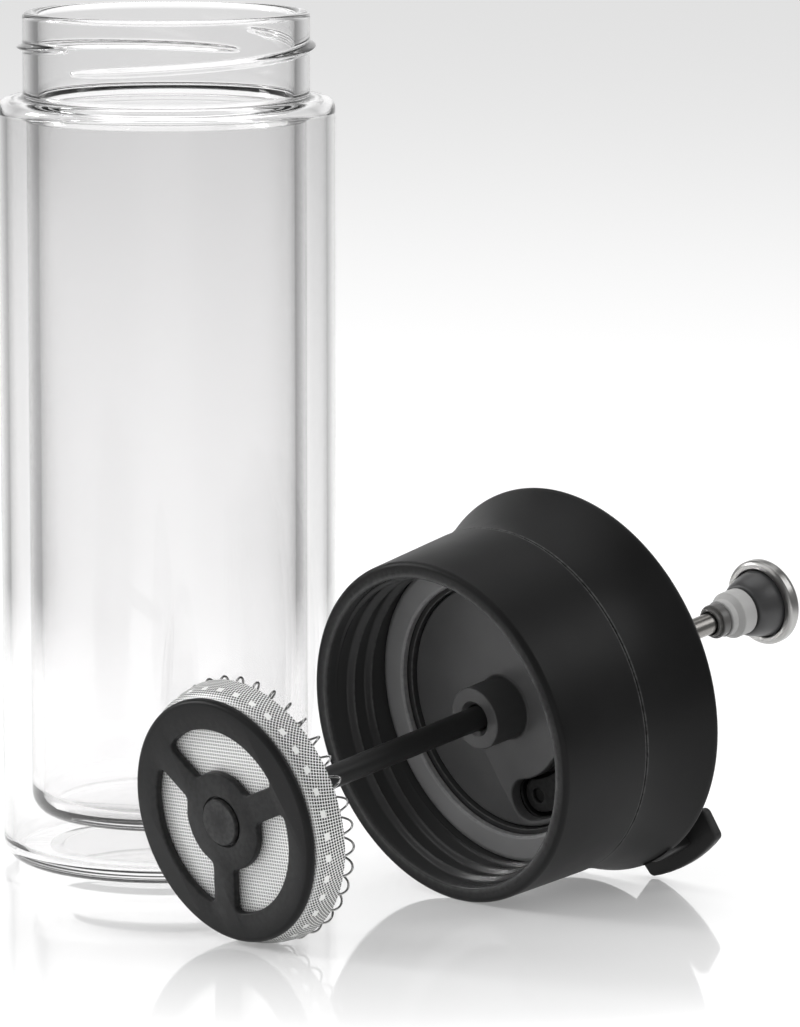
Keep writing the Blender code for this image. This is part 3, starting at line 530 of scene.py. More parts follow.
# Each plastic: name, dark shade, light shade, fleck, roughness
softShades = (0.0045, 0.0045, 0.0047), (0.007, 0.007, 0.0072), (0.022, 0.022, 0.023), 0.46
softBlack = grainedMaterial("softBlackPlastic", *softShades, specular=0.2, edgeHighlight=0.14)
# Inside the bore the collar is painted a lighter grey than its black outside: painted light, a lit copy of
# the same black.
collarBlack = grainedMaterial("collarBlackPlastic", *softShades, specular=0.2, edgeHighlight=0.14,
                              inner=(35.1, 36.2, (0.05, 0.05, 0.0505), 0.2))
sleeveBlack = grainedMaterial("sleeveBlackPlastic", (0.016, 0.016, 0.0162), (0.022, 0.022, 0.0222), 0.04,
                              0.42, specular=0.3, edgeLight=0.0)
# Within 7.3 mm of the axis, on the boss, the ceiling is painted darker: painted shade against the light the
# boss catches nearer the mouth.
insideBlack = grainedMaterial("satinBlackPlastic", (0.098, 0.098, 0.099), (0.118, 0.118, 0.119), 0.14, 0.36,
                              grain=2600, bump=0.05, specular=0.45, edgeLight=0.2,
                              inner=(7.3, 7.7, (0.058, 0.058, 0.0585), 0.42))
plateBlack = grainedMaterial("plateBlackPlastic", (0.009, 0.009, 0.0092), (0.0125, 0.0125, 0.0128),
                             (0.06, 0.06, 0.061), 0.42, grain=3000, bump=0.3, specular=0.15)
# The flip cap is the lid's soft black painted lighter: painted light on its tab, which faces down.
capBlack = grainedMaterial("capBlackPlastic", (0.017, 0.017, 0.0172), (0.022, 0.022, 0.0223),
                           (0.03, 0.03, 0.031), 0.42, specular=0.3, edgeHighlight=0.14)
ferruleGrey = grainedMaterial("satinGreyFerrule", (0.085, 0.082, 0.078), (0.12, 0.117, 0.112), 0.2, 0.34,
                              grain=2600, bump=0.05, specular=0.6, edgeLight=0.2)
insertGrey = grainedMaterial("satinGreyInsert", (0.05, 0.05, 0.051), (0.066, 0.066, 0.068), 0.09, 0.36,
                             grain=2600, bump=0.05, edgeLight=0.0)
blackRubber = grainedMaterial("blackRubber", 0.008, 0.011, 0.02, 0.62, specular=0.35)
greySilicone = grainedMaterial("greySilicone", (0.31, 0.31, 0.313), (0.37, 0.37, 0.374), 0.42, 0.4,
                               grain=2000, bump=0.05)
frostedGrey = grainedMaterial("frostedGreyPlastic", (0.4, 0.397, 0.392), (0.5, 0.497, 0.49), 0.6, 0.48,
                              grain=2400, bump=0.08)
# Each steel: name, dark shade, light shade, roughness, scale of its lines, bump, contrast
polishedSteel = brushedMaterial("polishedSteel", (0.4, 0.395, 0.385), (0.48, 0.475, 0.465), 0.3, 1.6, 0.01,
                                0.02)
rodSteel = brushedMaterial("drawnSteel", (0.24, 0.232, 0.22), (0.34, 0.33, 0.315), 0.3, 9.0, 0.08, 0.06)
wireSteel = brushedMaterial("springSteel", 0.33, (0.48, 0.48, 0.47), 0.2, 7.0, 0.06, 0.06)
plateSteel = brushedMaterial("pressedSteel", (0.5, 0.5, 0.49), (0.66, 0.66, 0.65), 0.34, 6.0, 0.1, 0.08)
wovenMesh = meshMaterial(meshFinish)
print("materials ready")


# Tumbler
glassSizes = Sizes(
    height=190.2, bodyRadius=37.5, wall=2.0, footRound=4.5, footThick=3.2, punt=0.5, puntReach=24.0,
    puntSlope=3.0, puntRound=2.0, neckFoot=171.2, neckRadius=31.9, bore=28.5, rimRound=1.5, neckFillet=1.1,
    shoulderFlat=0.9, insideRound=1.7, jointRound=1.5, jointDrop=1.5, linerNeck=0.8, linerRadius=31.1,
    linerLift=10.4, linerFloor=3.0, linerRound=5.0, boreRound=3.6, columns=384, innerColumns=256)
threadSizes = Sizes(
    proud=1.3, halfHeight=1.15, taper=0.16, rowStep=0.22, low=14.4, high=2.6, margin=0.1,
    beads=[(-128.5, 182.0, 12.1, 5.8), (58.0, 171.0, 10.6, 6.9)])


# Adds the two screw beads to the neck: radius + proud * (1 + cos(pi d)) / 2 * ends, where d is the
# height from the bead's middle over its half height, and ends fades both tips of the bead. A bead
# is given by the angle of its low end, its sweep, and how far its two ends are below the rim.
def addBeads(points, sizes, rim):
    x, y, height = np.moveaxis(points, -1, 0)
    angle, radius = np.degrees(np.arctan2(y, x)), np.hypot(x, y)
    growth = np.zeros_like(height)
    for start, sweep, low, high in sizes.beads:
        share = np.mod(angle - start, 360) / sweep
        middle = rim - low + (low - high) * share
        ends = np.clip(np.minimum(share, 1 - share) / sizes.taper, 0, 1)
        ends = ends ** 0.6 * (1.6 - 0.6 * ends)
        away = np.clip(np.abs(height - middle) / (sizes.halfHeight * (0.45 + 0.55 * ends)), 0, 1)
        growth = np.maximum(growth, sizes.proud * ends * (1 + np.cos(math.pi * away)) / 2)
    scale = 1 + growth / np.maximum(radius, 1e-6)
    return np.stack([x * scale, y * scale, height], axis=-1)


def makeTumbler(sizes, thread):
    rim, neck, body, bore = sizes.height, sizes.neckRadius, sizes.bodyRadius, sizes.bore
    liner, floor, lift = sizes.linerRadius, sizes.linerLift + sizes.linerFloor, sizes.linerLift
    outer = soften([
        (0, sizes.punt, 0), (sizes.puntReach, sizes.punt, sizes.puntRound),
        (sizes.puntReach + sizes.puntSlope, 0, sizes.puntRound), (body, 0, sizes.footRound),
        (body, sizes.neckFoot, body - neck - sizes.shoulderFlat), (neck, sizes.neckFoot, sizes.neckFillet),
        (neck, rim - thread.low - thread.margin, 0)], steps=12, closed=False)
    rows = np.arange(rim - thread.low, rim - thread.high, thread.rowStep)
    screw = np.stack([np.full(len(rows), neck), rows], axis=1)
    inner = soften([
        (neck, rim - thread.high + thread.margin, 0), (neck, rim, sizes.rimRound),
        (bore, rim, sizes.rimRound), (bore, floor, sizes.boreRound), (0, floor, 0)], steps=10, closed=False)
    points = spun(np.concatenate([outer, screw, inner]), sizes.columns)
    screwRows = slice(len(outer), len(outer) + len(screw))
    points[screwRows] = addBeads(points[screwRows], thread, rim)
    inside, top = body - sizes.wall, sizes.neckFoot - sizes.wall
    gap = soften([
        (0, sizes.footThick, 0), (inside, sizes.footThick, sizes.footRound - sizes.wall),
        (inside, top, sizes.insideRound), (neck, top, sizes.jointRound),
        (neck, top - sizes.jointDrop, sizes.linerNeck), (liner, top - 2 * sizes.jointDrop, sizes.linerNeck),
        (liner, lift, sizes.linerRound), (0, lift, 0)], steps=10, closed=False)
    shells = [[gridSurface(points)], [gridSurface(spun(gap, sizes.innerColumns))]]
    return makePiece("tumblerGlass", shells, "tumbler", clearGlass, "clear_glass",
                     "outer_glass_wall inner_glass_liner", inner=1, sharp=60)


makeTumbler(glassSizes, threadSizes)
print("tumbler built")


# Lid
collarSizes = Sizes(
    mouth=38.5, seam=39.65, height=23.7, bore=34.9, lipRound=1.1, lipEdge=0.5,
    shelf=19.5, shelfBore=27.7, shelfTop=22.1, pocket=31.3, grooveIn=35.9, grooveOut=38.3,
    grooveDepth=1.5, corner=0.2, seamEdge=0.25, columns=320)
lidThread = Sizes(proud=1.35, halfHeight=1.35, lead=10.7, starts=2, low=3.0, high=16.2, fade=1.4, turn=0.35,
                  start=1.5, rows=96)


# The collar's thread stands into the bore: bore - proud * (1 + cos(pi d)) / 2 * fade, where d is
# the distance from the nearest turn of the screw h = lead * angle / tau + k * lead / starts.
def makeCollar(sizes, thread):
    bore, shelf, seam, top, corner = sizes.bore, sizes.shelf, sizes.seam, sizes.height, sizes.corner
    heights = np.linspace(thread.low - thread.start, shelf - 2 * corner, thread.rows)
    screw = np.stack([np.full(len(heights), bore), heights], axis=1)
    before = soften([(seam, top - 3 * corner, 0), (sizes.mouth, 0, sizes.lipRound), (bore, 0, sizes.lipEdge),
                     (bore, thread.low - thread.start - corner / 2, 0)], closed=False)
    groove = top - sizes.grooveDepth
    after = soften([
        (bore, shelf - 1.5 * corner, 0), (bore, shelf, corner), (sizes.shelfBore, shelf, corner),
        (sizes.shelfBore, sizes.shelfTop, 0), (sizes.pocket, sizes.shelfTop, 0), (sizes.pocket, top, corner),
        (sizes.grooveIn, top, corner), (sizes.grooveIn, groove, 0), (sizes.grooveOut, groove, 0),
        (sizes.grooveOut, top, corner), (seam, top, sizes.seamEdge), (seam, top - 0.55, 0)], closed=False)
    points = spun(np.concatenate([before, screw, after]), sizes.columns)
    zone = slice(len(before), len(before) + len(screw))
    x, y, height = np.moveaxis(points[zone], -1, 0)
    pitch = thread.lead / thread.starts
    phase = height - thread.lead * (np.arctan2(y, x) / tau + thread.turn)
    away = np.abs(np.mod(phase + pitch / 2, pitch) - pitch / 2) / thread.halfHeight
    fade = np.clip((height - thread.low) / thread.fade, 0, 1) * np.clip(
        (thread.high - height) / thread.fade, 0, 1)
    growth = thread.proud * fade * (1 + np.cos(math.pi * np.clip(away, 0, 1))) / 2
    scale = 1 - growth / bore
    points[zone] = np.stack([x * scale, y * scale, height], axis=-1)
    return makePiece("lidCollar", [[gridSurface(points, closeRows=True)]], "lid", collarBlack,
                     "soft_black_plastic", "lid_collar", sharp=50)


shellSizes = Sizes(
    foot=24.0, seam=39.65, rim=43.9, height=41.7, rimEdge=0.6, tongue=38.0, bowl=36.2,
    bowlMouth=41.4, bowlStart=28.1, tongueFoot=22.5, outerPower=1.8, bowlPower=1.5, straight=0.5,
    corner=0.2, seamEdge=0.25, notchDepth=1.7, notchHalf=4.8, notchSlope=1.6, flareRows=22, columns=432)


# Both walls of the flared shell leave a straight start by a power curve: start + flare * share^power.
# The notch presses the rim down to a floor between two sloping sides.
def makeFlaredShell(sizes):
    seam, rim, bowl, mouth = sizes.seam, sizes.rim, sizes.bowl, sizes.bowlMouth
    crest, foot = sizes.height - sizes.rimEdge, sizes.foot + sizes.straight
    tongue, corner, share = sizes.tongue, sizes.corner, np.linspace(0, 1, sizes.flareRows)

    def flare(start, end, power, low):
        return np.stack([start + (end - start) * share ** power, low + (crest - low) * share], axis=1)

    outer = flare(seam, rim, sizes.outerPower, foot)
    inner = flare(bowl, mouth, sizes.bowlPower, sizes.bowlStart)[::-1]
    lip = soften([(rim, crest, 0), (rim, sizes.height, sizes.rimEdge), (mouth, sizes.height, sizes.rimEdge),
                  (mouth, crest, 0)], steps=5, closed=False)[1:-1]
    root = soften([
        (bowl, sizes.bowlStart - sizes.straight, 0), (bowl, sizes.tongueFoot, corner),
        (tongue, sizes.tongueFoot, corner), (tongue, sizes.foot, 0), (seam, sizes.foot, sizes.seamEdge),
        (seam, foot - corner / 2, 0)], closed=False)
    points = spun(np.concatenate([outer, lip, inner, root]), sizes.columns)
    x, y, height = np.moveaxis(points, -1, 0)
    rise = np.clip((np.abs(y) - sizes.notchHalf) / sizes.notchSlope, 0, 1)
    ceiling = np.where(x > 0, sizes.height - sizes.notchDepth * (1 - rise), sizes.height)
    points[..., 2] = np.minimum(height, ceiling)
    return makePiece("lidFlaredShell", [[gridSurface(points, closeRows=True)]], "lid", softBlack,
                     "soft_black_plastic", "lid_flared_shell", sharp=50)


slotSizes = Sizes(radius=21.4, halfAngle=math.radians(20), halfWidth=4.69944, points=18)


# A band bent round the lid's axis with round ends, its half width grown by `grow`
def beanOutline(sizes, grow=0.0):
    half, far = sizes.halfWidth + grow, sizes.halfAngle
    sweep = np.linspace(-far, far, sizes.points)
    bow = np.linspace(0, math.pi, sizes.points)[1:-1]
    parts = []
    for side in (1, -1):
        turn = side * far + bow + (0 if side > 0 else math.pi)
        parts.append(polar(sizes.radius + side * half, side * sweep))
        parts.append(polar(sizes.radius, side * far) + polar(half, turn))
    return np.concatenate(parts)


# The rows of an edge wall that starts with a quarter round of this radius at this height, or ends
# with one there, and those of a wall with its corners cut
def edgeArc(radius, height, steps=5):
    turn = np.linspace(0, math.pi / 2, steps + 1)
    return [(radius * (1 - math.sin(angle)), height + radius * (1 - math.cos(angle))) for angle in turn]


def lastArc(radius, height):
    return [(inset, height - rise) for inset, rise in edgeArc(radius, 0)[::-1]]


def cutRows(low, high, edge):
    return [(edge, low), (0, low + edge), (0, high - edge), (edge, high)]


ceilingSizes = Sizes(
    radius=27.4, face=20.5, top=23.4, flangeFoot=22.4, flange=31.0, boss=7.0, bossFace=11.1, way=3.05,
    sink=1.0, sealPocket=5.6, sealFloor=21.8, edge=0.45, slotEdge=0.5, slotBack=0.3, bossFillet=0.6,
    bossEdge=0.35, wayEdge=0.2)


def makeCeiling(sizes, slot):
    face, top, boss, sealFloor = sizes.face, sizes.top, sizes.boss, sizes.sealFloor
    out, way, pocket = sizes.radius - sizes.flange, sizes.way - boss, sizes.sealPocket - boss
    rim = edgeArc(sizes.edge, face) + [(0, sizes.flangeFoot), (out, sizes.flangeFoot), (out, top)]
    bean = edgeArc(sizes.slotEdge, face) + [(0, top - sizes.slotBack), (sizes.slotBack, top)]
    step = soften([
        (2 * sizes.bossFillet, face, 0), (0, face, sizes.bossFillet), (0, sizes.bossFace, sizes.bossEdge),
        (way + sizes.sink, sizes.bossFace, sizes.wayEdge), (way, sizes.bossFace + sizes.sink, sizes.wayEdge),
        (way, sealFloor, 0), (pocket, sealFloor, 0), (pocket, top, 0)], closed=False)
    holes = (beanOutline(slot), bean), (circle(boss, 96), step)
    return makePiece("lidCeiling", [plateSurfaces((circle(sizes.radius), rim), holes)], "lid", insideBlack,
                     "moulded_black_plastic", "lid_ceiling")


deckSizes = Sizes(
    radius=35.9, foot=23.7, top=25.9, tower=5.4, towerTop=28.1, way=3.05, edge=0.3, rimEdge=0.2,
    slotEdge=0.5, wayEdge=0.4, towerEdge=0.5, towerFillet=0.6, towerSkirt=1.4, earNear=4.35, earThick=2.0,
    earRadius=2.2, earBore=1.2, earSunk=1.1)


def makeDeck(sizes, slot, hinge):
    foot, top, tower, edge, pin = sizes.foot, sizes.top, sizes.tower, sizes.edge, hinge[[0, 2]]
    bean = [(edge, foot), (0, foot + edge)] + lastArc(sizes.slotEdge, top)
    ring = soften([(sizes.way - tower, foot, 0), (sizes.way - tower, sizes.towerTop, sizes.wayEdge),
                   (0, sizes.towerTop, sizes.towerEdge), (0, top, sizes.towerFillet),
                   (sizes.towerSkirt, top, 0)], closed=False)
    holes = (beanOutline(slot), bean), (circle(tower, 96), ring)
    shells = [plateSurfaces((circle(sizes.radius, 256), cutRows(foot, top, sizes.rimEdge)), holes)]
    outline = np.concatenate([pin + polar(sizes.earRadius, np.linspace(0, math.pi, 17)),
                              [(pin[0] + side * sizes.earRadius, top - sizes.earSunk) for side in (-1, 1)]])
    bore = circle(sizes.earBore, 32, pin)
    for side in (1, -1):
        near, far, soft = side * sizes.earNear, side * (sizes.earNear + sizes.earThick), side * edge
        rows = [(edge, near), (0, near + soft), (0, far - soft), (edge, far)]
        ear = plateSurfaces((outline, rows), [(bore, rows)])
        shells.append([(points[:, [0, 2, 1]], faces) for points, faces in ear])
    return makePiece("lidDeck", shells, "lid", softBlack, "soft_black_plastic", "lid_deck")


makeCollar(collarSizes, lidThread)
makeFlaredShell(shellSizes)
makeCeiling(ceilingSizes, slotSizes)
makeDeck(deckSizes, slotSizes, hingeSpot)

gasketSizes = Sizes(outer=34.6, bore=28.7, face=17.5, top=19.2, edge=0.35, bead=0.25, beadRound=0.5,
                    outerBead=0.9, innerBead=0.7)


def makeGasket(sizes):
    outer, bore, edge, low = sizes.outer, sizes.bore, sizes.edge, sizes.face + sizes.bead
    return spunPiece("mouthGasket", [
        (outer, sizes.top, edge), (outer, low, edge), (outer - sizes.outerBead, sizes.face, sizes.beadRound),
        (bore + sizes.innerBead, sizes.face, sizes.beadRound), (bore, low, edge), (bore, sizes.top, edge)],
        "lid", greySilicone, "grey_silicone", "mouth_gasket", columns=256)


makeGasket(gasketSizes)

sealSizes = Sizes(outer=5.3, bore=3.05, foot=22.1, top=23.4, edge=0.35)
spunPiece("rodSeal", tubeCorners(*sealSizes.values()), "lid", greySilicone, "grey_silicone", "rod_seal",
          columns=64)
print("lid built")


# Flip cap
pinSizes = Sizes(radius=0.9, half=6.35, edge=0.2, columns=40)
capSizes = Sizes(
    barrel=2.0, barrelHalf=4.0, bore=1.2, paddleFoot=27.2, paddleThick=2.4, paddleHalf=13.7,
    paddleReach=28.5, armHalf=4.3, armThick=3.0, armClear=0.65, bowl=36.2, overNotch=40.65, rim=43.9,
    tabFoot=47.1, tabThick=2.2, tabSlope=0.5, tabInner=38.6, tabReach=47.7, tabSunk=1.1,
    tabHalfAngle=math.radians(15.3), tabHalfWidth=13.2, tabCorner=1.5, edge=0.55, bend=2.4, overBend=2.6,
    downBend=1.4, barStart=0.6, rampRun=4.6, rampTop=1.3, crest=1.5, stemIn=1.2, stemOut=1.0, planRound=3.4,
    planStart=-1.0, planWidens=3.0, planWide=5.0, planNarrows=3.6, planPast=4.0, thickens=4.0,
    barrelEdge=0.3, boreEdge=0.2, rows=150)


# The paddle and arm are a flat bar swept along a path in the XZ plane. Its section is a rounded
# rectangle |u|^n + |v|^n = 1 with n = 6, as wide as the plan says and as thick as the path says.
def barSurfaces(path, halfWidth, halfThick, columns=64, power=6.0):
    ahead = unit(np.gradient(path, axis=0))
    side = np.stack([-ahead[:, 1], ahead[:, 0]], axis=1)
    ring = circle(1, columns)
    u, v = (np.sign(ring) * np.abs(ring) ** (2 / power)).T
    lift = halfThick[:, None] * v[None]
    points = np.stack([path[:, :1] + side[:, :1] * lift, halfWidth[:, None] * u[None],
                       path[:, 1:] + side[:, 1:] * lift], axis=-1)
    return [gridSurface(points), fillSurface(points[0]), fillSurface(points[-1])]


def makeFlipCap(sizes, hinge):
    half = sizes.paddleThick / 2
    middle = sizes.paddleFoot + half
    wall = sizes.bowl - sizes.armThick / 2 - sizes.armClear
    path = soften([
        (hinge[0] + sizes.barStart, middle, 0), (wall - sizes.barStart, middle, sizes.bend),
        (wall + sizes.rampRun, sizes.overNotch + sizes.rampTop, sizes.overBend),
        (sizes.rim - sizes.stemIn, sizes.overNotch + sizes.crest, sizes.downBend),
        (sizes.rim - sizes.stemOut, sizes.tabFoot + sizes.tabSunk, 0)], steps=14, closed=False)
    length = np.concatenate([[0], np.cumsum(np.linalg.norm(np.diff(path, axis=0), axis=1))])
    spots = np.linspace(0, length[-1], sizes.rows)
    path = np.stack([np.interp(spots, length, path[:, axis]) for axis in (0, 1)], axis=1)
    across, height = path.T
    plan = soften([
        (hinge[0] + sizes.planStart, sizes.barrelHalf, 0),
        (hinge[0] + sizes.planWidens, sizes.barrelHalf, sizes.bend),
        (hinge[0] + sizes.planWide, sizes.paddleHalf, sizes.planRound),
        (sizes.paddleReach, sizes.paddleHalf, sizes.planRound),
        (sizes.paddleReach + sizes.planNarrows, sizes.armHalf, sizes.planRound),
        (sizes.rim + sizes.planPast, sizes.armHalf, 0)], steps=8, closed=False)
    halfWidth = np.interp(across, *plan.T)
    fullness = np.clip((height - middle) / sizes.thickens, 0, 1)
    halfThick = half + (sizes.armThick / 2 - half) * fullness
    half = sizes.barrelHalf
    barrel = soften([(sizes.barrel, -half, sizes.barrelEdge), (sizes.barrel, half, sizes.barrelEdge),
                     (sizes.bore, half, sizes.boreEdge), (sizes.bore, -half, sizes.boreEdge)], steps=4)
    shells = [barSurfaces(path, halfWidth, halfThick),
              [gridSurface(spunAcross(barrel, 40, hinge[0], hinge[2]), closeRows=True)]]
    arc = polar(sizes.tabReach, np.linspace(-1, 1, 9) * sizes.tabHalfAngle, 0.0)
    arc[[0, -1], 2] = sizes.tabCorner
    inner = [(sizes.tabInner, side * sizes.tabHalfWidth, sizes.tabCorner) for side in (1, -1)]
    outline = soften(np.concatenate([arc, inner]), steps=8)
    tab, rows = [], edgeArc(sizes.edge, 0) + lastArc(sizes.edge, sizes.tabThick)
    for points, faces in plateSurfaces((outline, rows)):
        tilt = (points[:, :1] - sizes.tabInner) / (sizes.tabReach - sizes.tabInner) * sizes.tabSlope
        tab.append((points + np.array([0, 0, 1]) * (sizes.tabFoot + tilt), faces))
    shells.append(tab)
    return makePiece("flipCap", shells, "flap", capBlack, "soft_black_plastic", "flip_cap")


plugSizes = Sizes(foot=24.0, deck=25.9, flangeFoot=26.2, top=26.9, side=0.3, taper=0.6, flange=1.1,
                  footRound=0.35, flangeEdge=0.15, topEdge=0.2, dimple=1.7, dimpleDepth=0.9, dimpleRound=0.3)


def makePlug(sizes, slot):
    foot, flange, out = sizes.foot, sizes.flangeFoot, -sizes.side - sizes.flange
    rows = [(inset + sizes.taper, height) for inset, height in edgeArc(sizes.footRound, foot)]
    rows += [(0, sizes.deck), (0, flange), (out + sizes.flangeEdge, flange),
             (out, flange + sizes.flangeEdge), (out, sizes.top - sizes.topEdge),
             (out + sizes.topEdge, sizes.top)]
    wall = edgeArc(sizes.dimpleRound, foot) + [(0, foot + sizes.dimpleDepth)]
    spots = [polar(slot.radius, side * slot.halfAngle) for side in (1, -1)]
    dimples = [(circle(sizes.dimple, 40, spot), wall) for spot in spots]
    shell = plateSurfaces((beanOutline(slot, -sizes.side), rows), blindHoles=dimples)
    return makePiece("flipPlug", [shell], "flap", blackRubber, "black_rubber", "flip_plug")


makeFlipCap(capSizes, hingeSpot)
makePlug(plugSizes, slotSizes)
pin = soften([(0, -pinSizes.half, 0), (pinSizes.radius, -pinSizes.half, pinSizes.edge),
              (pinSizes.radius, pinSizes.half, pinSizes.edge), (0, pinSizes.half, 0)], steps=3, closed=False)
makePiece("hingePin", [[gridSurface(spunAcross(pin, pinSizes.columns, hingeSpot[0], hingeSpot[2]))]], "lid",
          rodSteel, "stainless_steel", "hinge_pin")
print("flip cap built")


# Filter at the plunger's end
plateSizes = Sizes(
    radius=26.75, thick=1.8, round=1.2, backRound=0.5, windowInner=10.8, windowOuter=20.2,
    corner=1.5, cornerReach=3.4, spokeWidth=6.2, spokes=3, turn=math.radians(37.3), edge=0.4, backEdge=0.2,
    button=5.1, pocket=5.4, proud=0.7, sunk=0.5, buttonEdge=0.4, buttonBack=0.1, buttonSunk=0.3,
    pocketEdge=0.25)


# One window: two arcs round the axis, joined by sides parallel to the spokes
def windowOutline(sizes, first, last):
    half = sizes.spokeWidth / 2
    rings = []
    for radius, turn, count in ((sizes.windowOuter, 1, 17), (sizes.windowInner, -1, 9)):
        back = math.asin(half / radius)
        start, end, clear = first + back, last - back, sizes.cornerReach / radius
        angle = np.concatenate([[start], np.linspace(start + clear, end - clear, count), [end]])[::turn]
        corner = np.zeros(len(angle))
        corner[[0, -1]] = sizes.corner
        rings.append(polar(radius, angle, corner))
    return soften(np.concatenate(rings), steps=9)


def makePressPlate(sizes):
    thick, third = sizes.thick, tau / sizes.spokes
    rim = edgeArc(sizes.round, 0, 9) + lastArc(sizes.backRound, thick)
    wall = edgeArc(sizes.edge, 0) + [(0, thick - sizes.backEdge), (sizes.backEdge, thick)]
    starts = [sizes.turn + index * third for index in range(sizes.spokes)]
    windows = [(windowOutline(sizes, start, start + third), wall) for start in starts]
    pocket = circle(sizes.pocket, 72), [(sizes.pocketEdge, 0), (0, sizes.pocketEdge), (0, sizes.sunk)]
    shell = plateSurfaces((circle(sizes.radius, 256), rim), windows, [pocket])
    return makePiece("pressPlate", [shell], "plunger", plateBlack, "moulded_black_plastic", "press_plate")


def makeButton(sizes):
    foot, face = sizes.sunk - sizes.buttonSunk, -sizes.proud
    return spunPiece("hubButton", [
        (0, foot, 0), (sizes.button, foot, sizes.buttonBack), (sizes.button, face, sizes.buttonEdge),
        (0, face, 0)],
        "plunger", plateBlack, "moulded_black_plastic", "hub_button", columns=96, closed=False)


makePressPlate(plateSizes)
makeButton(plateSizes)

screenSizes = Sizes(start=2.15, thick=0.16, core=1.85, bend=26.2, bendRound=1.6, bulgeRound=2.5,
                    backRound=2.4, backUp=0.03, bulge=[(27.75, 3.3), (28.4, 5.6), (28.8, 8.2)])


# The cloth runs flat behind the plate, turns over a soft bend and bulges out over the coil
def makeScreen(sizes):
    thick, low, bulge = sizes.thick, sizes.start, sizes.bulge
    front = [(sizes.core, low, 0), (sizes.bend, low, sizes.bendRound)]
    front += [(across, up, sizes.bulgeRound) for across, up in bulge[:-1]] + [(*bulge[-1], 0)]
    back = [(bulge[-1][0] - thick, bulge[-1][1], 0)]
    back += [(across - thick, up + sizes.backUp, sizes.backRound) for across, up in bulge[-2::-1]]
    back += [(sizes.bend - thick, low + thick, sizes.bendRound - thick), (sizes.core, low + thick, 0)]
    spunPiece("meshScreen", front + back, "plunger", wovenMesh, "woven_steel_mesh", "mesh_screen",
              columns=256, steps=8)


makeScreen(screenSizes)

coilSizes = Sizes(ring=27.0, turn=1.95, wire=0.5, height=9.8, curls=35, start=math.radians(125.2),
                  perCurl=26, sides=10)


# The wire's middle runs round a circle of curls: radius = ring - turn cos(c), height = turn sin(c),
# while it goes round the axis once. The tube's section is a circle across the wire's direction.
def makeCoil(sizes):
    turns = np.linspace(0, sizes.curls, sizes.curls * sizes.perCurl + 1)
    around = sizes.start + turns * tau / (sizes.curls + 1)
    route = polar(sizes.ring - sizes.turn * np.cos(tau * turns), around,
                  sizes.height + sizes.turn * np.sin(tau * turns))
    ahead = unit(np.gradient(route, axis=0))
    away = route - polar(sizes.ring, around, sizes.height)
    away = unit(away - ahead * (away * ahead).sum(axis=1)[:, None])
    beside = np.cross(ahead, away)
    cosine, sine = circle(1, sizes.sides).T[:, None, :, None]
    points = route[:, None] + sizes.wire / 2 * (away[:, None] * cosine + beside[:, None] * sine)
    surfaces = [gridSurface(points), fillSurface(points[0]), fillSurface(points[-1])]
    return makePiece("filterCoil", [surfaces], "plunger", wireSteel, "stainless_steel",
                     "filter_spring", sharp=70)


makeCoil(coilSizes)

dishSizes = Sizes(floor=2.8, floorRadius=13.5, riseRadius=21.5, edge=26.1, edgeFoot=9.4, thick=0.8, core=1.8,
                  bend=1.6, edgeRound=0.2, lacing=0.65, lacingRadius=25.05, flow=2.6, flowRadius=17.5,
                  flowCount=8, drill=16.0)


# The dish is spun whole in the world's frame, drilled there and then put in its place
def makeBackPlate(sizes, coil):
    floor, rim, thick, bend = sizes.floor, sizes.edgeFoot, sizes.thick, sizes.bend
    plate = spunPiece("filterBackPlate", [
        (sizes.edge, rim + thick, sizes.edgeRound), (sizes.edge, rim, sizes.edgeRound),
        (sizes.riseRadius, rim, bend), (sizes.floorRadius, floor, bend), (sizes.core, floor, 0),
        (sizes.core, floor + thick, 0), (sizes.floorRadius, floor + thick, bend),
        (sizes.riseRadius, rim + thick, bend)],
        "plunger", plateSteel, "stainless_steel", "filter_back_plate", place="tumbler")
    rings = [(sizes.lacingRadius, coil.start, coil.curls + 1, sizes.lacing, 10),
             (sizes.flowRadius, 0, sizes.flowCount, sizes.flow, 32)]
    drills, drillMesh = bmesh.new(), bpy.data.meshes.new("drills")
    for reach, start, count, radius, sides in rings:
        for index in range(count):
            place = Matrix.Translation(polar(reach, start + index * (tau / count), sizes.drill / 2) * mm)
            bmesh.ops.create_cone(drills, cap_ends=True, segments=sides, radius1=radius * mm,
                                  radius2=radius * mm, depth=sizes.drill * mm, matrix=place)
    drills.to_mesh(drillMesh)
    drills.free()
    drill = addObject("drills", drillMesh)
    cut = plate.modifiers.new("holes", "BOOLEAN")
    cut.object = drill
    bpy.context.view_layer.update()
    cutMesh = bpy.data.meshes.new_from_object(plate.evaluated_get(bpy.context.evaluated_depsgraph_get()))
    plate.modifiers.clear()
    bpy.data.objects.remove(drill)
    origin, turn = frames["plunger"]
    spots = readRows(cutMesh.vertices, "co")
    cutMesh.attributes["local"].data.foreach_set("vector", (spots / mm).ravel())
    cutMesh.vertices.foreach_set("co", (origin + spots @ turn.T).ravel())
    cutMesh.set_sharp_from_angle(angle=math.radians(35))
    cutMesh.update()
    plate.data = cutMesh
    return plate


makeBackPlate(dishSizes, coilSizes)

nutSizes = Sizes(radius=4.4, foot=3.9, top=6.9, bore=1.8, corner=0.4, edge=0.3, boreEdge=0.2)


def makeNut(sizes):
    hexagon = soften(polar(sizes.radius, np.arange(6) * tau / 6, sizes.corner), steps=4)
    shell = plateSurfaces((hexagon, cutRows(sizes.foot, sizes.top, sizes.edge)),
                          [(circle(sizes.bore, 40), cutRows(sizes.foot, sizes.top, sizes.boreEdge))])
    return makePiece("filterNut", [shell], "plunger", plateSteel, "stainless_steel", "filter_nut")


makeNut(nutSizes)
print("filter built")


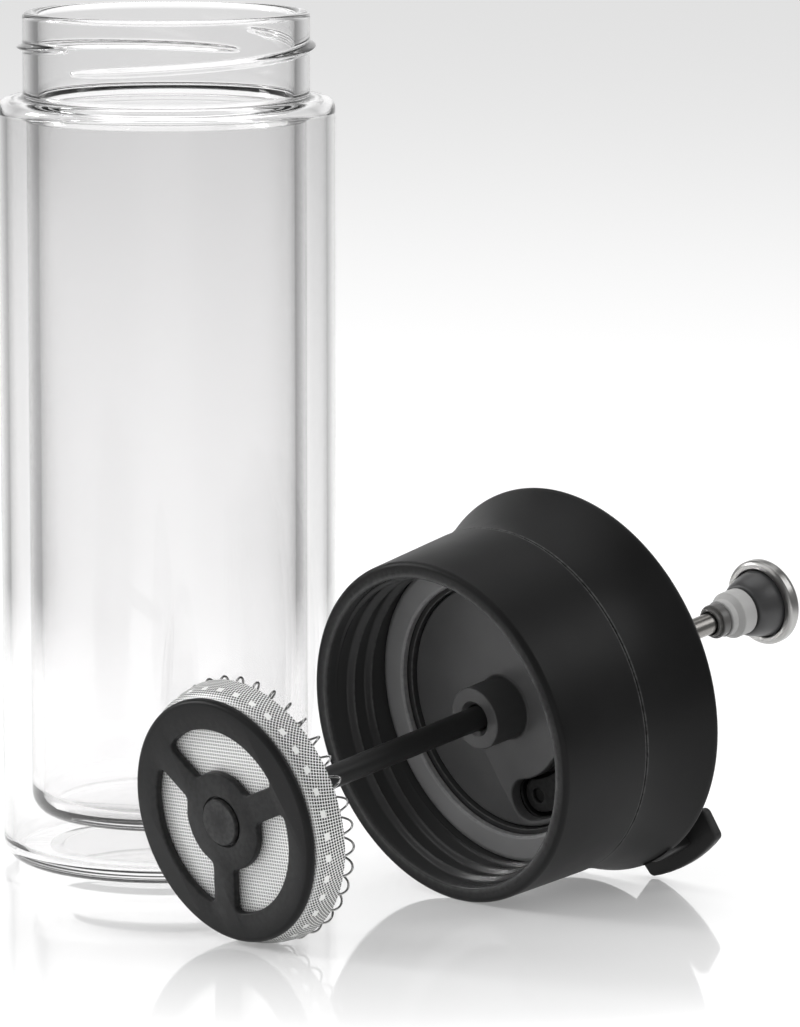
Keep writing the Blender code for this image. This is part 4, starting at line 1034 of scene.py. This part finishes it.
# Rod and knob
rodSizes = Sizes(radius=2.4, core=1.5, coreTip=1.2, slack=0.3, sleeveFoot=7.2, sleeveEnd=85.0,
                 sleeveSmall=2.45, sleeveLarge=2.7, sleeveEdge=0.3, top=166.85, topEdge=0.3, tipEdge=0.1,
                 ferrule=150.75, ferruleRadius=3.9, ferruleEdge=0.25, shoulderEdge=0.3, nose=3.2,
                 noseLength=1.0, ferruleLength=3.2, bore=2.7)


def makeRod(sizes):
    radius, core, top, tip = sizes.radius, sizes.core, sizes.top, sizes.tipEdge
    step, end, start = sizes.sleeveEnd + sizes.slack, sizes.sleeveEnd, sizes.sleeveFoot
    spunPiece("steelRod", [
        (0, top, 0), (radius, top, sizes.topEdge), (radius, step, tip), (core, step, 0),
        (core, sizes.coreTip, tip), (0, sizes.coreTip, 0)],
        "plunger", rodSteel, "stainless_steel", "steel_rod", columns=64, closed=False)
    spunPiece("rodSleeve", [
        (sizes.sleeveLarge, end, sizes.sleeveEdge), (sizes.sleeveSmall, start, sizes.sleeveEdge),
        (core + sizes.slack, start, 0), (core + sizes.slack, end, 0)],
        "plunger", sleeveBlack, "soft_black_plastic", "rod_sleeve", columns=64)
    foot, neck, high = np.array([0, sizes.noseLength, sizes.ferruleLength]) + sizes.ferrule
    spunPiece("rodFerrule", [
        (sizes.ferruleRadius, high, sizes.ferruleEdge), (sizes.ferruleRadius, neck, sizes.shoulderEdge),
        (sizes.nose, neck, tip), (sizes.nose, foot, sizes.shoulderEdge), (sizes.bore, foot, tip),
        (sizes.bore, high, tip)],
        "plunger", ferruleGrey, "moulded_black_plastic", "rod_ferrule", columns=80)


makeRod(rodSizes)

knobSizes = Sizes(start=161.45, neckStart=154.25, neckSmall=4.2, neckLarge=5.35, smallLength=1.8, slope=1.15,
                  neckLength=6.9, edgeFoot=167.15, widest=169.25, radius=9.85, dome=3.8, wall=0.8, lip=7.95,
                  rodDepth=5.4, slack=0.3, neckTopEdge=0.3, slopeRound=0.6, stepEdge=0.2, neckFootEdge=0.35,
                  boreEdge=0.1, rollStart=0.55, rollOuter=0.8, rollInner=0.5, lipEdge=0.35, wallEdge=0.2,
                  overlap=0.02, domeRows=22, hollowRows=18)


# The dome is a quarter of an ellipse: (radius sin a, widest + rise cos a). The insert's hollow
# underside opens by a square curve: sleeve + (inside - sleeve) * share, start + depth * share^2.
def makeKnob(sizes, bore):
    foot, wall, widest, start = sizes.edgeFoot, sizes.wall, sizes.widest, sizes.neckStart
    large, small, high = sizes.neckLarge, sizes.neckSmall, start + sizes.neckLength
    step = start + sizes.smallLength
    spunPiece("knobNeckSleeve", [
        (large, high, sizes.neckTopEdge), (large, step + sizes.slope, sizes.slopeRound),
        (small, step, sizes.stepEdge), (small, start, sizes.neckFootEdge), (bore, start, sizes.boreEdge),
        (bore, high, sizes.boreEdge)],
        "plunger", frostedGrey, "frosted_plastic", "knob_neck_sleeve", columns=96)
    quarter = np.linspace(0, math.pi / 2, sizes.domeRows)

    def dome(radius, rise):
        return np.stack([radius * np.sin(quarter), widest + rise * np.cos(quarter)], axis=1)

    outer, inner, lip = sizes.radius, sizes.radius - wall, sizes.lip
    roll = soften([
        (outer, widest - sizes.overlap, 0), (outer, foot + sizes.rollStart, sizes.rollOuter),
        (inner, foot, sizes.rollInner), (lip, foot, sizes.lipEdge), (lip, foot + wall, sizes.wallEdge),
        (inner, foot + wall, sizes.wallEdge), (inner, widest - sizes.overlap, 0)], closed=False)
    profile = np.concatenate([dome(outer, sizes.dome), roll, dome(inner, sizes.dome - wall)[::-1]])
    makePiece("knobCap", [[gridSurface(spun(profile, 160))]], "plunger", polishedSteel, "stainless_steel",
              "knob_cap", sharp=50)
    slack, share, low = sizes.slack, np.linspace(1, 0, sizes.hollowRows), sizes.start
    inside, shelf, pocket = lip - slack, foot + wall + slack, low + sizes.rodDepth + slack
    hollow = np.stack([large + (inside - large) * share, low + (foot - low) * share ** 2], axis=1)
    profile = np.concatenate([
        dome(inner - slack, sizes.dome - wall - slack), [(inner - slack, shelf), (inside, shelf)], hollow,
        [(bore, low), (bore, pocket), (0, pocket)]])
    makePiece("knobInsert", [[gridSurface(spun(profile, 128))]], "plunger", insertGrey,
              "moulded_black_plastic", "knob_insert", sharp=50)


makeKnob(knobSizes, rodSizes.bore)
print("knob built")


# Floor, light and camera
studio = Sizes(
    floorHalf=9.0, floorShade=0.86, floorRoughness=0.06, floorIndex=1.6, floorCoat=0.3, coatRoughness=0.05,
    floorLift=0.25, smears=30.0, smearRange=(0.3, 0.7), smearing=0.02,
    worldLight=0.56, viewerSide=0.45, besides=0.25, overhead=0.12, viewerReach=(-0.75, 0.1),
    sideReach=(0.28, 0.7), overheadReach=(0.3, 0.7), whiteReach=(0.25, 0.4), polishMiddle=(0.05, -0.02, 0.0),
    polishReach=(0.085, 0.155), throughGlass=(0.34, 0.75), throughReach=(0.15, 0.45),
    lamps=[("lampLeft", (-0.9, -0.5, 1.1), 0.9, 3.5), ("lampSide", (-1.5, 0.35, 0.6), 0.4, 9.0),
           ("lampRight", (1.1, -0.2, 0.9), 0.7, 4.0), ("lampTop", (0.1, 0.4, 1.5), 1.2, 5.0)],
    lampAim=(0.05, -0.03, 0.05))


# How bright the room is in a level direction (x, y): white behind the object, darker to both sides
# and on the viewer's side, as in a studio lit from behind.
def roomLevel(x, y, values):
    return remap(y, *values.viewerReach, values.viewerSide, 1.0) * remap(
        abs(x), *values.sideReach, 1.0, values.besides)


# The floor shows that room to glass and gloss alone. Under and beside the object it is white, and
# polished round the object.
def makeFloor(values):
    half, rough, smearing = values.floorHalf, values.floorRoughness, values.smearing
    mesh = bpy.data.meshes.new("studioFloor")
    corners = [(-half, -half, 0), (half, -half, 0), (half, half, 0), (-half, half, 0)]
    mesh.from_pydata(corners, [], [(0, 1, 2, 3)])
    material, tree, shader = newMaterial("whiteFloor", IOR=values.floorIndex,
                                         Coat_Roughness=values.coatRoughness, Emission_Color=1)
    spot = objectSpot(tree)
    distance = addNode(tree, "VectorMath", "Value", {0: spot, 1: values.polishMiddle}, operation="DISTANCE")
    polish = remap(distance, *values.polishReach, 1.0, 0.0)
    feed(shader, "Specular IOR Level", polish * 0.5)
    feed(shader, "Coat Weight", polish * values.floorCoat)
    smear = noise(spot, values.smears, 3.0)
    feed(shader, "Roughness", remap(smear, *values.smearRange, rough - smearing, rough + smearing))
    x, y = coordinates(spot)[:2]
    reach = (x * x + y * y).op("SQRT").op("MAXIMUM", 0.001)
    room = roomLevel(x / reach, y / reach, values)
    camera, glossy, through = lightRays(tree, "Camera", "Glossy", "Transmission")
    mirrored = glossy.op("MAXIMUM", through)
    level = 1.0 - remap(reach, *values.whiteReach) * mirrored * (1.0 - room)
    level = level.op("MAXIMUM", through * values.throughGlass[0])
    feed(shader, "Base Color", blend(level, 0, values.floorShade))
    feed(shader, "Emission Strength", camera.op("MAXIMUM", mirrored) * level * values.floorLift)
    mesh.materials.append(material)
    addObject("studioFloor", mesh)


# The world is white for camera, glossy and transmission rays, with the room's level and darker
# overhead for the last two.
def makeWorld(values):
    world = bpy.data.worlds.new("studioWorld")
    bpy.context.scene.world = world
    world.use_nodes = True
    tree = world.node_tree
    x, y, z = coordinates(addNode(tree, "TexCoord", "Generated", {}))
    camera, glossy, through = lightRays(tree, "Camera", "Glossy", "Transmission")
    room = roomLevel(x, y, values) * remap(z, *values.overheadReach, 1.0, values.overhead)
    room = room.op("MAXIMUM", through * remap(abs(z), *values.throughReach, *values.throughGlass))
    mirrored = glossy.op("MAXIMUM", through)
    level = mirrored * room + (1.0 - mirrored) * values.worldLight
    feed(tree.nodes["Background"], "Strength", level.op("MAXIMUM", camera))
    feed(tree.nodes["Background"], "Color", 1)


def makeLamps(values):
    for name, spot, size, power in values.lamps:
        lamp = bpy.data.lights.new(name, "AREA")
        lamp.size, lamp.energy = size, power
        holder = addObject(name, lamp)
        holder.location = spot
        holder.rotation_euler = (Vector(values.lampAim) - Vector(spot)).to_track_quat("-Z", "Y").to_euler()


cameraValues = Sizes(distance=1.4098099, height=0.2908698, right=0.054276, pitch=8.60269, yaw=0.09967,
                     lens=223.0135, sensor=36.0)


def makeCamera(values):
    camera = bpy.data.cameras.new("camera")
    camera.sensor_fit = "VERTICAL"
    camera.sensor_height, camera.lens, camera.clip_end = values.sensor, values.lens, 50.0
    holder = addObject("camera", camera)
    holder.matrix_world = (Matrix.Translation((values.right, -values.distance, values.height))
                           @ Matrix.Rotation(math.radians(values.yaw), 4, "Z")
                           @ Matrix.Rotation(math.radians(90 - values.pitch), 4, "X"))
    bpy.context.scene.camera = holder


makeFloor(studio)
makeWorld(studio)
makeLamps(studio)
makeCamera(cameraValues)
bpy.context.scene.view_settings.view_transform = "Standard"
print("studio ready")
